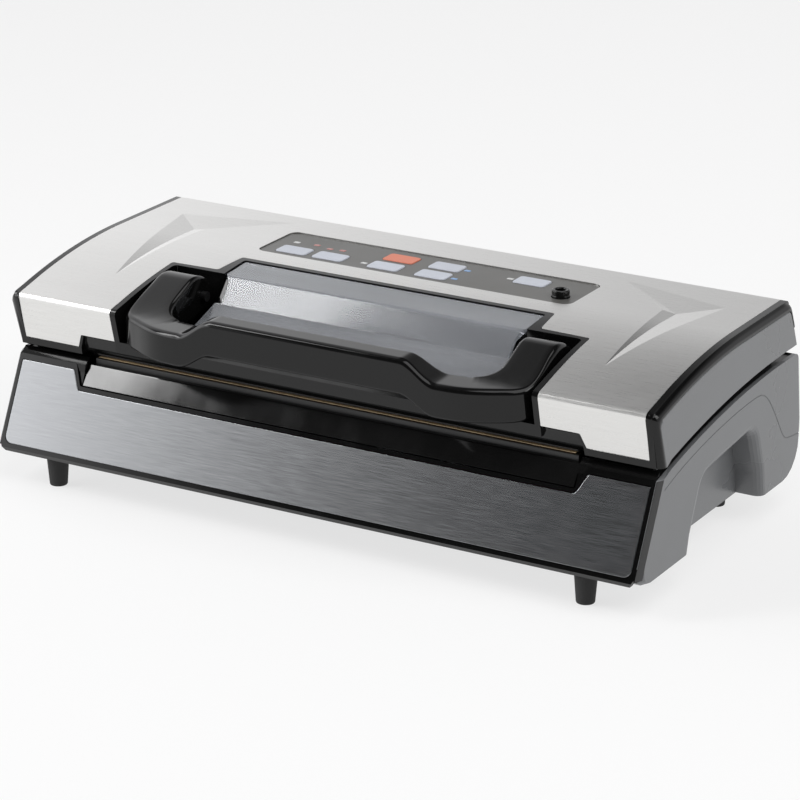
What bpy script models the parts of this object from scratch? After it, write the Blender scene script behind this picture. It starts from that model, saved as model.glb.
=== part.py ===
"""Countertop vacuum sealer: a base, a hinged lid, a lever handle and seven keys.

Outlines and sizes are in millimetres; every mesh is built in metres.
X runs along the sealing bar, +Y is the rear, +Z is up, and the feet stand on Z = 0.
"""
import math

import bmesh
import bpy
from mathutils import Vector

MM = 0.001
GAP = 0.3                  # clearance between neighbouring parts

# Overall form
SIDE = 210.0               # half of the width over the side faces
BASE_FRONT = -104.0        # foremost line of the base
BASE_REAR = 104.0          # rearmost line of the base
FOOT_HEIGHT = 17.5         # underside of the base above the table
LID_TOP = 125.3            # flat rear part of the lid
EDGE_IN = 2.3              # vertical front edge bevel, along X
EDGE_BACK = 4.6            # the same bevel, along Y

# Front of the base: a plane that leans back
LEAN = 0.485               # Y gained for each millimetre of height
FRONT_LOW = 21.1           # lower edge of the leaning face
FRONT_HIGH = 71.9          # upper edge of the leaning face
NOTCH_FLOOR = 60.5         # bottom of the bag notch
NOTCH_HALF = 160.5         # half width of the bag notch at its floor

# Joint line between the lid and the base
SEAM_CREST = 96.3          # highest point of the lid's lower edge
SEAM_CREST_Y = 80.0
SEAM_CURVE = 0.00077
SEAM_OPEN = 5.0            # gap between the lid and the base

# Curved top of the lid
CROWN_Y = 21.4             # the lid is flat behind this line
CROWN_CURVE = 0.001317
CREASE = (-86.0, 110.6)    # the top folds into the front face here
LID_FRONT_FOOT = (-77.9, 77.4)
STEEL_HALF = 203.1
STEEL_THICK = 0.8
STEEL_PLAY = 1.1           # depth of the pocket that the steel lies in
CHAMFER = 4.5              # drop of the black bevel along the lid's side

# Handle well and window in the lid
WELL_HALF = 135.2
WELL_REAR = -24.3
WELL_FLOOR = 91.0
BAY_FLOOR = 95.7            # the window bay behind the handle well is shallower
WINDOW_HALF = 98.7
WINDOW_REAR = -2.6
WINDOW_CREASE = (-24.6, 122.3)
WINDOW_FOOT = (-36.6, 108.1)
WINDOW_FRONT = (-67.0, 98.0)
WINDOW_THICK = 2.2
WALL = 2.4

# Sealing zone
SEAL_Y = (-73.1, -65.2)
SEAL_TOP = 75.0
CHAMBER_Y = (-64.9, -20.0)
CHAMBER_FLOOR = 75.0
CHAMBER_HALF = 165.0
LINER_Z = 80.2

# Joint axes, as (Y, Z)
LID_AXIS = (90.0, 98.5)
HANDLE_AXIS = (-36.0, 111.0)
HINGE_X = 150.0
HOOK_X = 177.0

# Control panel
PANEL_HALF = 104.0
PANEL_Y = (17.4, 59.4)
PANEL_TOP = 124.6
PANEL_THICK = 1.5
KEY_SIZE = (20.5, 12.5)
KEY_PROUD = 0.5
KEY_FRONT_Y = 29.1
KEY_REAR_Y = 46.0
KEYS = {
    "key_food": (-84.7, KEY_FRONT_Y),
    "key_seal_time": (-59.8, KEY_FRONT_Y),
    "key_stop": (-21.2, KEY_REAR_Y),
    "key_pulse": (-22.2, KEY_FRONT_Y),
    "key_vacuum": (9.5, KEY_REAR_Y),
    "key_seal": (9.7, KEY_FRONT_Y),
    "key_canister": (65.4, KEY_REAR_Y),
}
PORT = (92.0, 30.5)
PORT_TOP = 129.0

FOOT_X = 173.7
FOOT_FRONT_Y = -92.6
FOOT_REAR_Y = 72.0

# Scene set-up -----------------------------------------------------------------------------

for leftover in list(bpy.data.objects):
    bpy.data.objects.remove(leftover, do_unlink=True)

PARTS = bpy.data.collections.new("vacuum_sealer")
CUTTERS = bpy.data.collections.new("cutters")
CUTTERS.hide_render = True
for group in (PARTS, CUTTERS):
    bpy.context.scene.collection.children.link(group)


def pivot(name, y, z):
    """An empty that carries everything turning about one joint axis."""
    empty = bpy.data.objects.new(name, None)
    empty.empty_display_size = 0.02
    empty.location = Vector((0.0, y, z)) * MM
    PARTS.objects.link(empty)
    return empty


LID = pivot("lid_axis", *LID_AXIS)
HANDLE = pivot("handle_axis", *HANDLE_AXIS)


def finish(name, colour, roughness, metallic=0.0):
    """A plain material for one sub-part."""
    material = bpy.data.materials.new(name)
    material.use_nodes = True
    shader = material.node_tree.nodes["Principled BSDF"]
    shader.inputs["Base Color"].default_value = (*colour, 1.0)
    shader.inputs["Roughness"].default_value = roughness
    shader.inputs["Metallic"].default_value = metallic
    return material


def add_object(name, mesh_builder, collection):
    """Turn a bmesh into a linked object."""
    bmesh.ops.recalc_face_normals(mesh_builder, faces=mesh_builder.faces)
    if mesh_builder.calc_volume(signed=True) < 0.0:
        bmesh.ops.reverse_faces(mesh_builder, faces=mesh_builder.faces)
    mesh = bpy.data.meshes.new(name)
    mesh_builder.to_mesh(mesh)
    mesh_builder.free()
    created = bpy.data.objects.new(name, mesh)
    collection.objects.link(created)
    return created


def part(name, mesh_builder, look, carrier=None, smooth=False):
    """One sub-part. A carried part keeps its place and takes the carrier's axis as parent."""
    created = add_object(name, mesh_builder, PARTS)
    created.data.materials.append(finish(name, *look))
    if smooth:
        for face in created.data.polygons:
            face.use_smooth = True
    if carrier is not None:
        created.parent = carrier
        created.location = -carrier.location
    return created


def cutter(mesh_builder, name="cutter"):
    """A helper solid for a Boolean."""
    created = add_object(name, mesh_builder, CUTTERS)
    created.display_type = "WIRE"
    created.hide_render = True
    return created


def combine(target, operation, *helpers):
    """Add one exact Boolean for each helper, in order."""
    for helper in helpers:
        modifier = target.modifiers.new(operation.lower(), "BOOLEAN")
        modifier.operation = operation
        modifier.solver = "EXACT"
        modifier.object = helper
        if target.parent is not None:
            helper.parent = target.parent
            helper.location = target.location
    return target


# Outline tools ----------------------------------------------------------------------------

def fillet(points, radii, steps=4):
    """Round the corners of a closed outline; radii is one number or one for each corner."""
    rounded = []
    for index, corner in enumerate(points):
        radius = radii[index] if isinstance(radii, (list, tuple)) else radii
        here = Vector(corner)
        to_last = (Vector(points[index - 1]) - here).normalized()
        to_next = (Vector(points[(index + 1) % len(points)]) - here).normalized()
        angle = to_last.angle(to_next)
        if radius <= 0.0 or angle > math.radians(179.0):
            rounded.append(tuple(here))
            continue
        centre = here + (to_last + to_next).normalized() * radius / math.sin(angle / 2)
        spoke = here + to_last * radius / math.tan(angle / 2) - centre
        turn = math.pi - angle
        if to_last.x * to_next.y - to_last.y * to_next.x > 0.0:
            turn = -turn
        for step in range(steps + 1):
            share = turn * step / steps
            rounded.append((centre.x + spoke.x * math.cos(share) - spoke.y * math.sin(share),
                            centre.y + spoke.x * math.sin(share) + spoke.y * math.cos(share)))
    return rounded


def spread(low, high, count):
    """Evenly spaced values, both ends included."""
    return [low + (high - low) * step / (count - 1) for step in range(count)]


def rectangle(x_low, x_high, y_low, y_high):
    return [(x_low, y_low), (x_high, y_low), (x_high, y_high), (x_low, y_high)]


def grown(points, amount):
    """Move the corners of an outline away from their centre."""
    middle = sum((Vector(point) for point in points), Vector((0.0, 0.0))) / len(points)
    return [tuple(Vector(point) + (Vector(point) - middle).normalized() * amount)
            for point in points]


def mirrored(points):
    """Close a right-hand outline with its mirror image across X = 0."""
    return list(points) + [(-x, y) for x, y in reversed(points)]


PLACE = {
    "X": lambda a, b, c: Vector((c, a, b)),
    "Y": lambda a, b, c: Vector((a, c, b)),
    "Z": lambda a, b, c: Vector((a, b, c)),
}


def prism(outline, low, high, axis="X"):
    """Extrude an outline along an axis: (y, z) along X, (x, z) along Y, (x, y) along Z."""
    builder = bmesh.new()
    place = PLACE[axis]
    corners = [builder.verts.new(place(a, b, low) * MM) for a, b in outline]
    face = builder.faces.new(corners)
    grown = bmesh.ops.extrude_face_region(builder, geom=[face])["geom"]
    moved = [item for item in grown if isinstance(item, bmesh.types.BMVert)]
    bmesh.ops.translate(builder, verts=moved, vec=place(0.0, 0.0, high - low) * MM)
    return builder


def box(x, y, z):
    """A cube stretched between three pairs of limits."""
    builder = bmesh.new()
    bmesh.ops.create_cube(builder, size=1.0)
    size = Vector((x[1] - x[0], y[1] - y[0], z[1] - z[0])) * MM
    centre = Vector((x[0] + x[1], y[0] + y[1], z[0] + z[1])) * MM / 2
    bmesh.ops.scale(builder, vec=size, verts=builder.verts)
    bmesh.ops.translate(builder, vec=centre, verts=builder.verts)
    return builder


def rod(radius, low, high, at, axis="X", segments=24, far_radius=None):
    """A cylinder or cone along an axis; `at` holds its other two coordinates in X, Y, Z order."""
    builder = bmesh.new()
    far = radius if far_radius is None else far_radius
    bmesh.ops.create_cone(builder, cap_ends=True, segments=segments, radius1=radius * MM,
                          radius2=far * MM, depth=(high - low) * MM)
    bmesh.ops.translate(builder, vec=(0.0, 0.0, (high + low) / 2 * MM), verts=builder.verts)
    for corner in builder.verts:
        across, along = (corner.co.x, corner.co.y), corner.co.z
        corner.co = PLACE[axis](across[0] + at[0] * MM, across[1] + at[1] * MM, along)
    return builder


def loft(rings):
    """Skin a row of closed rings that have the same number of points."""
    builder = bmesh.new()
    loops = []
    for ring in rings:
        corners = [builder.verts.new(Vector(point) * MM) for point in ring]
        loops.append([builder.edges.new((corners[i - 1], corners[i]))
                      for i in range(len(corners))])
    for first, second in zip(loops, loops[1:]):
        bmesh.ops.bridge_loops(builder, edges=first + second)
    bmesh.ops.holes_fill(builder, edges=loops[0] + loops[-1], sides=0)
    return builder


def side_ring(outline, x):
    """Stand a (y, z) outline up at one X."""
    return [(x, y, z) for y, z in outline]


def tube(name, points, radius, look, collection, resolution=2, carrier=None):
    """A pipe along a smooth open path, as a curve with filled ends."""
    path = bpy.data.curves.new(name, "CURVE")
    path.dimensions = "3D"
    path.bevel_depth = radius * MM
    path.bevel_resolution = resolution
    path.resolution_u = 4
    path.use_fill_caps = True
    spline = path.splines.new("NURBS")
    spline.points.add(len(points) - 1)
    for control, point in zip(spline.points, points):
        control.co = (*(Vector(point) * MM), 1.0)
    spline.use_endpoint_u = True
    spline.order_u = 3
    created = bpy.data.objects.new(name, path)
    collection.objects.link(created)
    if look is not None:
        path.materials.append(finish(name, *look))
    if carrier is not None:
        created.parent = carrier
        created.location = -carrier.location
    return created


# Shared curves of the design --------------------------------------------------------------

def front_y(z):
    """The leaning front plane of the base."""
    return BASE_FRONT + LEAN * (z - FRONT_LOW)


def lid_low(y):
    """Lower edge of the lid."""
    return SEAM_CREST - SEAM_CURVE * (SEAM_CREST_Y - y) ** 2


def base_top(y):
    """Upper edge of the base."""
    return lid_low(y) - SEAM_OPEN


def lid_top(y):
    """Top surface of the lid."""
    return LID_TOP - CROWN_CURVE * max(0.0, CROWN_Y - y) ** 2


def lid_front_y(z):
    """Front face of the lid."""
    share = (CREASE[1] - z) / (CREASE[1] - LID_FRONT_FOOT[1])
    return CREASE[0] + (LID_FRONT_FOOT[0] - CREASE[0]) * share


# Looks: colour, roughness, metallic -------------------------------------------------------

GLOSS_BLACK = ((0.012, 0.012, 0.013), 0.12)
SATIN_BLACK = ((0.02, 0.02, 0.021), 0.38)
GREY_PLASTIC = ((0.27, 0.275, 0.28), 0.36)
BRUSHED_STEEL = ((0.62, 0.61, 0.59), 0.28, 1.0)
DARK_STEEL = ((0.33, 0.33, 0.33), 0.3, 1.0)
PLAIN_STEEL = ((0.55, 0.55, 0.56), 0.35, 1.0)
DARK_RUBBER = ((0.03, 0.03, 0.03), 0.85)
GREY_FOAM = ((0.1, 0.1, 0.105), 0.95)
RED_SILICONE = ((0.42, 0.09, 0.06), 0.6)
AMBER_TAPE = ((0.45, 0.27, 0.1), 0.4)
CLEAR = ((0.75, 0.78, 0.8), 0.06)
PANEL_GREY = ((0.14, 0.14, 0.13), 0.35)
KEY_PALE = ((0.68, 0.71, 0.8), 0.45)
KEY_ORANGE = ((0.83, 0.22, 0.11), 0.45)
BOARD_GREEN = ((0.03, 0.16, 0.07), 0.5)
COPPER = ((0.6, 0.3, 0.16), 0.35, 1.0)
CLEAR_HOSE = ((0.6, 0.6, 0.58), 0.3)


# Base shell -------------------------------------------------------------------------------

def base_outline(set_back):
    """Side view of the base shell; the front edge may be set back."""
    foot = FOOT_HEIGHT
    corners = [(front_y(foot) + set_back, foot), (front_y(FRONT_HIGH) + set_back, FRONT_HIGH)]
    radii = [8.0, 0.6]
    for y in spread(-66.0, 88.0, 9):
        corners.append((y, base_top(y)))
        radii.append(0.0)
    corners += [(98.6, base_top(97.0)), (BASE_REAR, 50.0), (BASE_REAR + 0.4, foot)]
    radii += [4.0, 12.0, 21.0]
    outline = fillet(corners, radii, 5)
    return [(min(y, BASE_REAR), z) for y, z in outline]


def arch_ring(x, grow):
    """Outline of the hand grip in the side of the base, larger or smaller by `grow`."""
    corners = [(-47.5 - grow, 8.0), (-42.5 - grow, 28.0), (-28.0 - grow * 0.8, 61.0 + grow * 0.8),
               (44.5 + grow * 0.8, 67.6 + grow), (56.5 + grow, 34.0), (60.5 + grow, 8.0)]
    outline = fillet(corners, [0.0, 12.0, 17.0 + grow, 15.0 + grow, 25.0, 0.0], 5)
    return side_ring(outline, x)


def grip_cutter(sign):
    """The hand grip hollow: straight inside, flaring out to a rounded lip."""
    lip = 5.0
    rings = [arch_ring(sign * GRIP_WALL, -lip), arch_ring(sign * (SIDE - lip), -lip)]
    for angle in (25, 50, 70, 90):
        turn = math.radians(angle)
        rings.append(arch_ring(sign * (SIDE - lip + lip * math.sin(turn)),
                               -lip * math.cos(turn)))
    rings.append(arch_ring(sign * (SIDE + 1.0), 0.4))
    return cutter(loft(rings), "grip")


GRIP_WALL = 194.0
SHELL_WALL = 2.5
GROOVE = [(-74.0, 65.4), (-61.6, 69.3), (-36.2, 74.6), (-8.0, 78.6), (20.8, 81.2), (44.0, 81.8),
          (52.0, 80.2), (61.0, 73.2), (72.0, 58.8), (82.0, 44.5), (89.0, 42.3), (104.5, 40.6)]


def build_base_shell():
    rings = [side_ring(base_outline(EDGE_BACK), -SIDE), side_ring(base_outline(0.0), EDGE_IN - SIDE),
             side_ring(base_outline(0.0), SIDE - EDGE_IN), side_ring(base_outline(EDGE_BACK), SIDE)]
    shell = part("base_shell", loft(rings), GREY_PLASTIC)
    inside = SIDE - SHELL_WALL
    floor = FOOT_HEIGHT + SHELL_WALL + 0.2
    hollow = fillet([(-130.0, floor), (-130.0, 130.0), (95.6, 130.0), (95.6, 90.0),
                     (BASE_REAR - SHELL_WALL, 50.0), (BASE_REAR - SHELL_WALL, floor)],
                    [0.0, 0.0, 0.0, 4.0, 10.0, 18.0], 4)
    cavity = cutter(prism(hollow, -inside, inside), "cavity")
    for sign in (-1, 1):
        span = sorted((sign * (GRIP_WALL - SHELL_WALL), sign * (SIDE + 5.0)))
        keeper = cutter(box(span, (-50.5, 63.5), (0.0, 72.0)), "grip_wall")
        combine(cavity, "DIFFERENCE", keeper)
    face_back = GAP + 3.0
    opening = [(-140.0, 0.0), (-140.0, 95.0), (front_y(95.0) + face_back, 95.0),
               (front_y(0.0) + face_back, 0.0)]
    front = cutter(prism(opening, -inside, inside), "front_opening")
    combine(shell, "DIFFERENCE", cavity, front, grip_cutter(-1), grip_cutter(1))
    for sign in (-1, 1):
        line = [(sign * (SIDE + 0.05), y, z) for y, z in GROOVE]
        path = tube("groove", line, 0.42, None, CUTTERS, resolution=1)
        groove = bpy.data.objects.new("groove_solid", bpy.data.meshes.new_from_object(path))
        CUTTERS.objects.link(groove)
        groove.hide_render = True
        groove.display_type = "WIRE"
        path.hide_render = True
        path.display_type = "WIRE"
        combine(shell, "DIFFERENCE", groove)
    vents = []
    for x in spread(-70.0, -10.0, 11):
        vents.append(cutter(box((x - 1.1, x + 1.1), (95.0, 110.0), (48.0, 66.0)), "vent"))
    combine(shell, "DIFFERENCE", *vents)
    inlet = cutter(box((118.5, 141.5), (95.0, 110.0), (31.5, 46.5)), "inlet_hole")
    combine(shell, "DIFFERENCE", inlet)
    return shell


# Leaning front ----------------------------------------------------------------------------

def lean_to_world(builder, depth_low):
    """Stand a plate drawn in (x, slope height) onto the leaning front plane."""
    rise = math.cos(math.atan(LEAN))
    run = math.sin(math.atan(LEAN))
    for corner in builder.verts:
        x, up, out = corner.co
        corner.co = Vector((x, BASE_FRONT * MM + up * run - out * rise,
                            FRONT_LOW * MM + up * rise + out * run))
    return builder


def slope(z):
    """Height along the leaning plane for a height above the table."""
    return (z - FRONT_LOW) / math.cos(math.atan(LEAN))


PLATE = 2.9
PANEL_INSET = 0.9


def notch_outline(half_low, half_high, bottom, top, half_bottom, floor):
    """Front panel outline with the wide bag notch in its upper edge, in plane coordinates."""
    corners = [(half_bottom, slope(bottom)), (half_high, slope(top)), (half_low + 5.7, slope(top)),
               (half_low, slope(floor))]
    return mirrored(corners)


def build_front():
    low = FOOT_HEIGHT + 0.2
    outer = notch_outline(NOTCH_HALF + 1.2, 207.2, low, FRONT_HIGH, 207.2, NOTCH_FLOOR)
    outer = fillet(outer, [8.0, 1.0, 1.2, 1.5, 1.5, 1.2, 1.0, 8.0], 5)
    frame = part("front_frame", lean_to_world(prism(outer, -PLATE, 0.0, "Z"), 0.0), GLOSS_BLACK)
    for sign in (-1, 1):
        span = sorted((sign * (NOTCH_HALF + 0.9), sign * 207.2))
        ledge = [(front_y(FRONT_HIGH) + 0.3, FRONT_HIGH), (-74.7, 75.4), (-74.7, 72.6),
                 (front_y(FRONT_HIGH - 4.0) + 1.0, FRONT_HIGH - 4.0)]
        combine(frame, "UNION", cutter(prism(ledge, *span), "ledge"))
        span = sorted((sign * (NOTCH_HALF + 0.9), sign * (NOTCH_HALF + 4.0)))
        cheek = [(front_y(57.0) + 1.5, 57.0), (front_y(71.0) + 1.5, 71.0), (-74.9, 74.6),
                 (-74.9, 57.0)]
        combine(frame, "UNION", cutter(prism(cheek, *span), "cheek"))
    trim = [(-105.0, FRONT_LOW + 1.64), (-101.6, FOOT_HEIGHT + 0.1), (-90.0, FOOT_HEIGHT + 0.1),
            (-90.0, 8.0), (-120.0, 8.0), (-120.0, FRONT_LOW + 1.64)]
    combine(frame, "DIFFERENCE", cutter(prism(trim, -230.0, 230.0), "lower_bevel"))
    pocket = notch_outline(162.4 - 0.2, 205.2 + 0.2, 23.3, 68.7 + 0.2, 205.0 + 0.2, 58.2 + 0.2)
    pocket = fillet(pocket, [5.0, 1.0, 1.0, 3.0, 3.0, 1.0, 1.0, 5.0], 4)
    seat = lean_to_world(prism(pocket, -PANEL_INSET - 0.2, 5.0, "Z"), 0.0)
    combine(frame, "DIFFERENCE", cutter(seat, "panel_seat"))
    steel = notch_outline(162.4 + 0.1, 205.2 - 0.1, 23.6, 68.7 - 0.1, 205.0 - 0.1, 58.2 - 0.1)
    steel = fillet(steel, [4.9, 0.9, 1.0, 3.1, 3.1, 1.0, 0.9, 4.9], 5)
    panel = part("front_steel_panel", lean_to_world(prism(steel, -PANEL_INSET + 0.1, 0.0, "Z"), 0.0),
                 DARK_STEEL)
    bevel = panel.modifiers.new("edge", "BEVEL")
    bevel.width = 0.35 * MM
    bevel.segments = 1
    bevel.limit_method = "ANGLE"
    bevel.angle_limit = math.radians(50.0)
    ramp = [(-83.8, 60.5), (-75.5, 71.6), (-73.4, 71.6), (-73.4, 69.4), (-74.6, 69.4),
            (-81.6, 59.7)]
    part("bag_ramp", prism(fillet(ramp, [0.4, 1.5, 0.2, 0.0, 0.8, 0.2], 3), -NOTCH_HALF, NOTCH_HALF),
         GLOSS_BLACK)


# Base deck and sealing zone ---------------------------------------------------------------

DECK_THICK = 2.4


def deck_strip(y_low, y_high, count):
    """Points of the deck's upper and lower face along the seam curve."""
    upper = [(y, base_top(y) - 1.0) for y in spread(y_low, y_high, count)]
    lower = [(y, z - DECK_THICK) for y, z in reversed(upper)]
    return upper, lower


def build_deck():
    inside = SIDE - SHELL_WALL - GAP
    upper, lower = deck_strip(-16.0, 94.8, 8)
    floor = CHAMBER_FLOOR
    middle = [(CHAMBER_Y[0], floor - DECK_THICK), (CHAMBER_Y[0], floor), (CHAMBER_Y[1], floor)]
    middle += upper + lower
    middle.append((-16.0 + 0.5, floor - DECK_THICK))
    deck = part("base_deck", prism(middle, -CHAMBER_HALF - 0.5, CHAMBER_HALF + 0.5), SATIN_BLACK)
    for sign in (-1, 1):
        upper, lower = deck_strip(-74.2, 94.8, 12)
        span = sorted((sign * CHAMBER_HALF, sign * inside))
        combine(deck, "UNION", cutter(prism(upper + lower, *span), "deck_side"))
        rim = [(y, base_top(y) - 2.0) for y in spread(-71.0, 80.0, 11)]
        rim += [(y, z + 5.6) for y, z in reversed(rim)]
        span = sorted((sign * 199.0, sign * 201.5))
        combine(deck, "UNION", cutter(prism(rim, *span), "deck_rim"))
        span = sorted((sign * (HOOK_X - 6.0), sign * (HOOK_X + 6.0)))
        combine(deck, "DIFFERENCE", cutter(box(span, (-63.5, -21.0), (40.0, 100.0)), "latch_slot"))
    tray_hole = cutter(box((-148.8, 148.8), (-53.3, -30.7), (50.0, 90.0)), "tray_hole")
    combine(deck, "DIFFERENCE", tray_hole)
    port = cutter(rod(4.0, 60.0, 100.0, (-120.0, -14.0 + 8.0), "Z"), "air_hole")
    combine(deck, "DIFFERENCE", port)

    bar = [(SEAL_Y[0], 64.0), (SEAL_Y[0], SEAL_TOP), (SEAL_Y[1], SEAL_TOP), (SEAL_Y[1], 70.0),
           (SEAL_Y[1] - 4.0, 68.5), (SEAL_Y[1] - 4.0, 64.0)]
    part("seal_bar", prism(fillet(bar, [0.0, 0.5, 0.5, 0.0, 0.0, 0.0], 2), -158.0, 158.0),
         SATIN_BLACK)
    mid = sum(SEAL_Y) / 2
    part("heating_strip", box((-154.0, 154.0), (mid - 1.2, mid + 1.2), (SEAL_TOP + 0.3, SEAL_TOP + 0.5)),
         COPPER)
    part("seal_tape", box((-156.0, 156.0), (SEAL_Y[0] + 0.4, SEAL_Y[1] - 0.4),
                          (SEAL_TOP + 0.8, SEAL_TOP + 1.0)), AMBER_TAPE)
    gasket_ring("lower_gasket", floor + 0.3, floor + 2.6, None)

    tray = part("drip_tray", box((-148.4, 148.4), (-52.9, -31.1), (62.0, floor + 1.3)), SATIN_BLACK)
    flange = prism(fillet(rectangle(-151.5, 151.5, -55.5, -28.8), 3.0, 3), floor + 0.3, floor + 1.3, "Z")
    combine(tray, "UNION", cutter(flange, "tray_flange"))
    hollow = prism(fillet(rectangle(-146.6, 146.6, -51.1, -32.9), 3.0, 3), 63.6, 90.0, "Z")
    combine(tray, "DIFFERENCE", cutter(hollow, "tray_hollow"))


GASKET_X = (154.5, 160.5)
GASKET_Y = (-63.8, -57.8, -27.4, -21.6)


def gasket_ring(name, low, high, carrier):
    """A soft frame around the vacuum trough."""
    outer = fillet(rectangle(-GASKET_X[1], GASKET_X[1], GASKET_Y[0], GASKET_Y[3]), 7.0, 5)
    inner = fillet(rectangle(-GASKET_X[0], GASKET_X[0], GASKET_Y[1], GASKET_Y[2]), 3.0, 5)
    ring = part(name, prism(outer, low, high, "Z"), GREY_FOAM, carrier)
    combine(ring, "DIFFERENCE", cutter(prism(inner, low - 5.0, high + 5.0, "Z"), "gasket_hole"))


# Works inside the base --------------------------------------------------------------------

def build_works():
    floor = FOOT_HEIGHT + SHELL_WALL + 0.5
    pump = part("vacuum_pump", box((-150.0, -104.0), (10.0, 62.0), (floor, 62.0)), PLAIN_STEEL)
    head = cutter(rod(11.0, 60.0, 71.0, (-127.0, 36.0), "Z"), "pump_head")
    combine(pump, "UNION", head)
    part("pump_motor", rod(18.0, -103.7, -44.0, (36.0, 41.0), "X", 32), PLAIN_STEEL, smooth=True)
    tube("vacuum_hose", [(-120.0, 28.0, 72.6), (-120.0, 22.0, 77.0), (-120.0, 10.0, 79.0),
                         (-120.0, -2.0, 78.0), (-120.0, -6.0, 80.0)], 2.4, CLEAR_HOSE, PARTS)
    core = part("transformer", box((70.0, 128.0), (18.0, 66.0), (floor, 60.0)), PLAIN_STEEL)
    coil = prism(fillet(rectangle(82.0, 116.0, 8.0, 76.0), 6.0, 4), floor + 8.0, 54.0, "Z")
    combine(core, "UNION", cutter(coil, "coil"))
    part("release_valve", rod(8.0, floor, 52.0, (-20.0, 0.0), "Z"), SATIN_BLACK)
    board = part("power_board", box((-30.0, 56.0), (30.0, 84.0), (floor + 5.0, floor + 6.6)),
                 BOARD_GREEN)
    relay = cutter(box((-18.0, 4.0), (42.0, 58.0), (floor + 6.0, floor + 21.0)), "relay")
    bulk = cutter(rod(8.0, floor + 6.0, floor + 30.0, (34.0, 56.0), "Z"), "capacitor")
    posts = [cutter(box((x - 2.5, x + 2.5), (y - 2.5, y + 2.5), (floor, floor + 6.0)), "post")
             for x in (-24.0, 50.0) for y in (36.0, 78.0)]
    combine(board, "UNION", relay, bulk, *posts)

    inlet = part("power_inlet", prism(fillet(rectangle(118.9, 141.1, 31.9, 46.1), 6.5, 5),
                                      88.0, BASE_REAR - 0.1, "Y"), SATIN_BLACK)
    socket = prism(fillet(rectangle(121.5, 138.5, 35.0, 43.0), 3.9, 5), 92.0, 120.0, "Y")
    combine(inlet, "DIFFERENCE", cutter(socket, "socket"))
    flange = prism(fillet(rectangle(114.0, 146.0, 29.8, 50.5), 4.0, 3), 88.0, 98.0, "Y")
    combine(inlet, "UNION", cutter(flange, "inlet_flange"))
    inlet.modifiers.move(1, 0)
    for x in (126.0, 134.0):
        contact = cutter(rod(1.2, 91.0, 100.5, (x, 39.0), "Y", 12), "contact")
        combine(inlet, "UNION", contact)

    for side, sign in (("left", -1), ("right", 1)):
        x = sign * HOOK_X
        catch = [(-27.6, 73.6), (-27.6, 76.4), (-25.2, 77.2), (-22.0, 77.2), (-22.0, 56.0),
                 (-26.0, 56.0), (-26.0, 72.4)]
        part(f"latch_catch_{side}", prism(catch, x - 5.0, x + 5.0), PLAIN_STEEL)
        switch = part(f"microswitch_{side}", box((x - 4.0, x + 4.0), (-16.0, 4.0), (58.0, 69.0)),
                      SATIN_BLACK)
        plunger = cutter(rod(1.4, 68.0, 71.0, (x, -12.0), "Z", 12), "plunger")
        combine(switch, "UNION", plunger)


def build_feet():
    places = {"front_left": (-FOOT_X, FOOT_FRONT_Y), "front_right": (FOOT_X, FOOT_FRONT_Y),
              "rear_left": (-FOOT_X, FOOT_REAR_Y), "rear_right": (FOOT_X, FOOT_REAR_Y)}
    for corner, (x, y) in places.items():
        foot = part(f"foot_{corner}", rod(5.25, 0.0, FOOT_HEIGHT - GAP, (x, y), "Z", 32, 6.6),
                    DARK_RUBBER, smooth=True)
        bevel = foot.modifiers.new("edge", "BEVEL")
        bevel.width = 0.7 * MM
        bevel.segments = 2
        bevel.limit_method = "ANGLE"
        bevel.angle_limit = math.radians(50.0)


# Hinges -----------------------------------------------------------------------------------

NOSE = 3.0


def ear(foot_points, radius):
    """A lug outline: a round nose about the lid axis joined to two foot points."""
    y, z = LID_AXIS
    start, end = [Vector(point) - Vector((y, z)) for point in foot_points]
    first = math.atan2(start.y, start.x) - math.acos(radius / start.length)
    last = math.atan2(end.y, end.x) + math.acos(radius / end.length)
    while last > first:
        last -= math.tau
    arc = [(y + radius * math.cos(turn), z + radius * math.sin(turn))
           for turn in spread(first, last, 9)]
    return [foot_points[0]] + arc + [foot_points[1]]


def build_hinges():
    for side, sign in (("left", -1), ("right", 1)):
        x = sign * HINGE_X
        span = sorted((x - sign * 5.5, x))
        rise = base_top(84.0) - 0.7
        bracket = part(f"hinge_bracket_{side}",
                       prism(ear([(82.0, rise), (90.6, rise)], NOSE), *span), PLAIN_STEEL)
        plate = [(78.0, rise + 1.5), (90.4, rise + 1.5), (90.4, rise), (78.0, rise)]
        wide = sorted((x - sign * 16.0, x - sign * 0.4))
        combine(bracket, "UNION", cutter(prism(plate, *wide), "bracket_plate"))
        pin_hole = rod(1.8, *sorted((x - sign * 9.0, x + sign * 9.0)), LID_AXIS, "X", 16)
        combine(bracket, "DIFFERENCE", cutter(pin_hole, "pin_hole"))
        part(f"hinge_pin_{side}", rod(1.5, *sorted((x - sign * 6.0, x + sign * 5.4)), LID_AXIS, "X", 16),
             PLAIN_STEEL, smooth=True)
        arm_span = sorted((x + sign * 0.4, x + sign * 5.0))
        arm = part(f"hinge_arm_{side}",
                   prism(ear([(88.4, 112.0), (81.0, 112.0)], NOSE), *arm_span), SATIN_BLACK, LID)
        root = [(81.0, 111.5), (88.4, 111.5), (86.0, LID_TOP - 3.7), (78.0, LID_TOP - 3.7)]
        combine(arm, "UNION", cutter(prism(root, *arm_span), "arm_root"))
        arm_hole = rod(1.8, *sorted((x - sign * 9.0, x + sign * 9.0)), LID_AXIS, "X", 16)
        combine(arm, "DIFFERENCE", cutter(arm_hole, "arm_hole"))


# Lid --------------------------------------------------------------------------------------

def crown(drop, y_front, y_rear, count):
    """Points along the lid's top surface, lowered by `drop`, from front to rear."""
    return [(y, lid_top(y) - drop) for y in spread(y_front, y_rear, count)]


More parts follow.
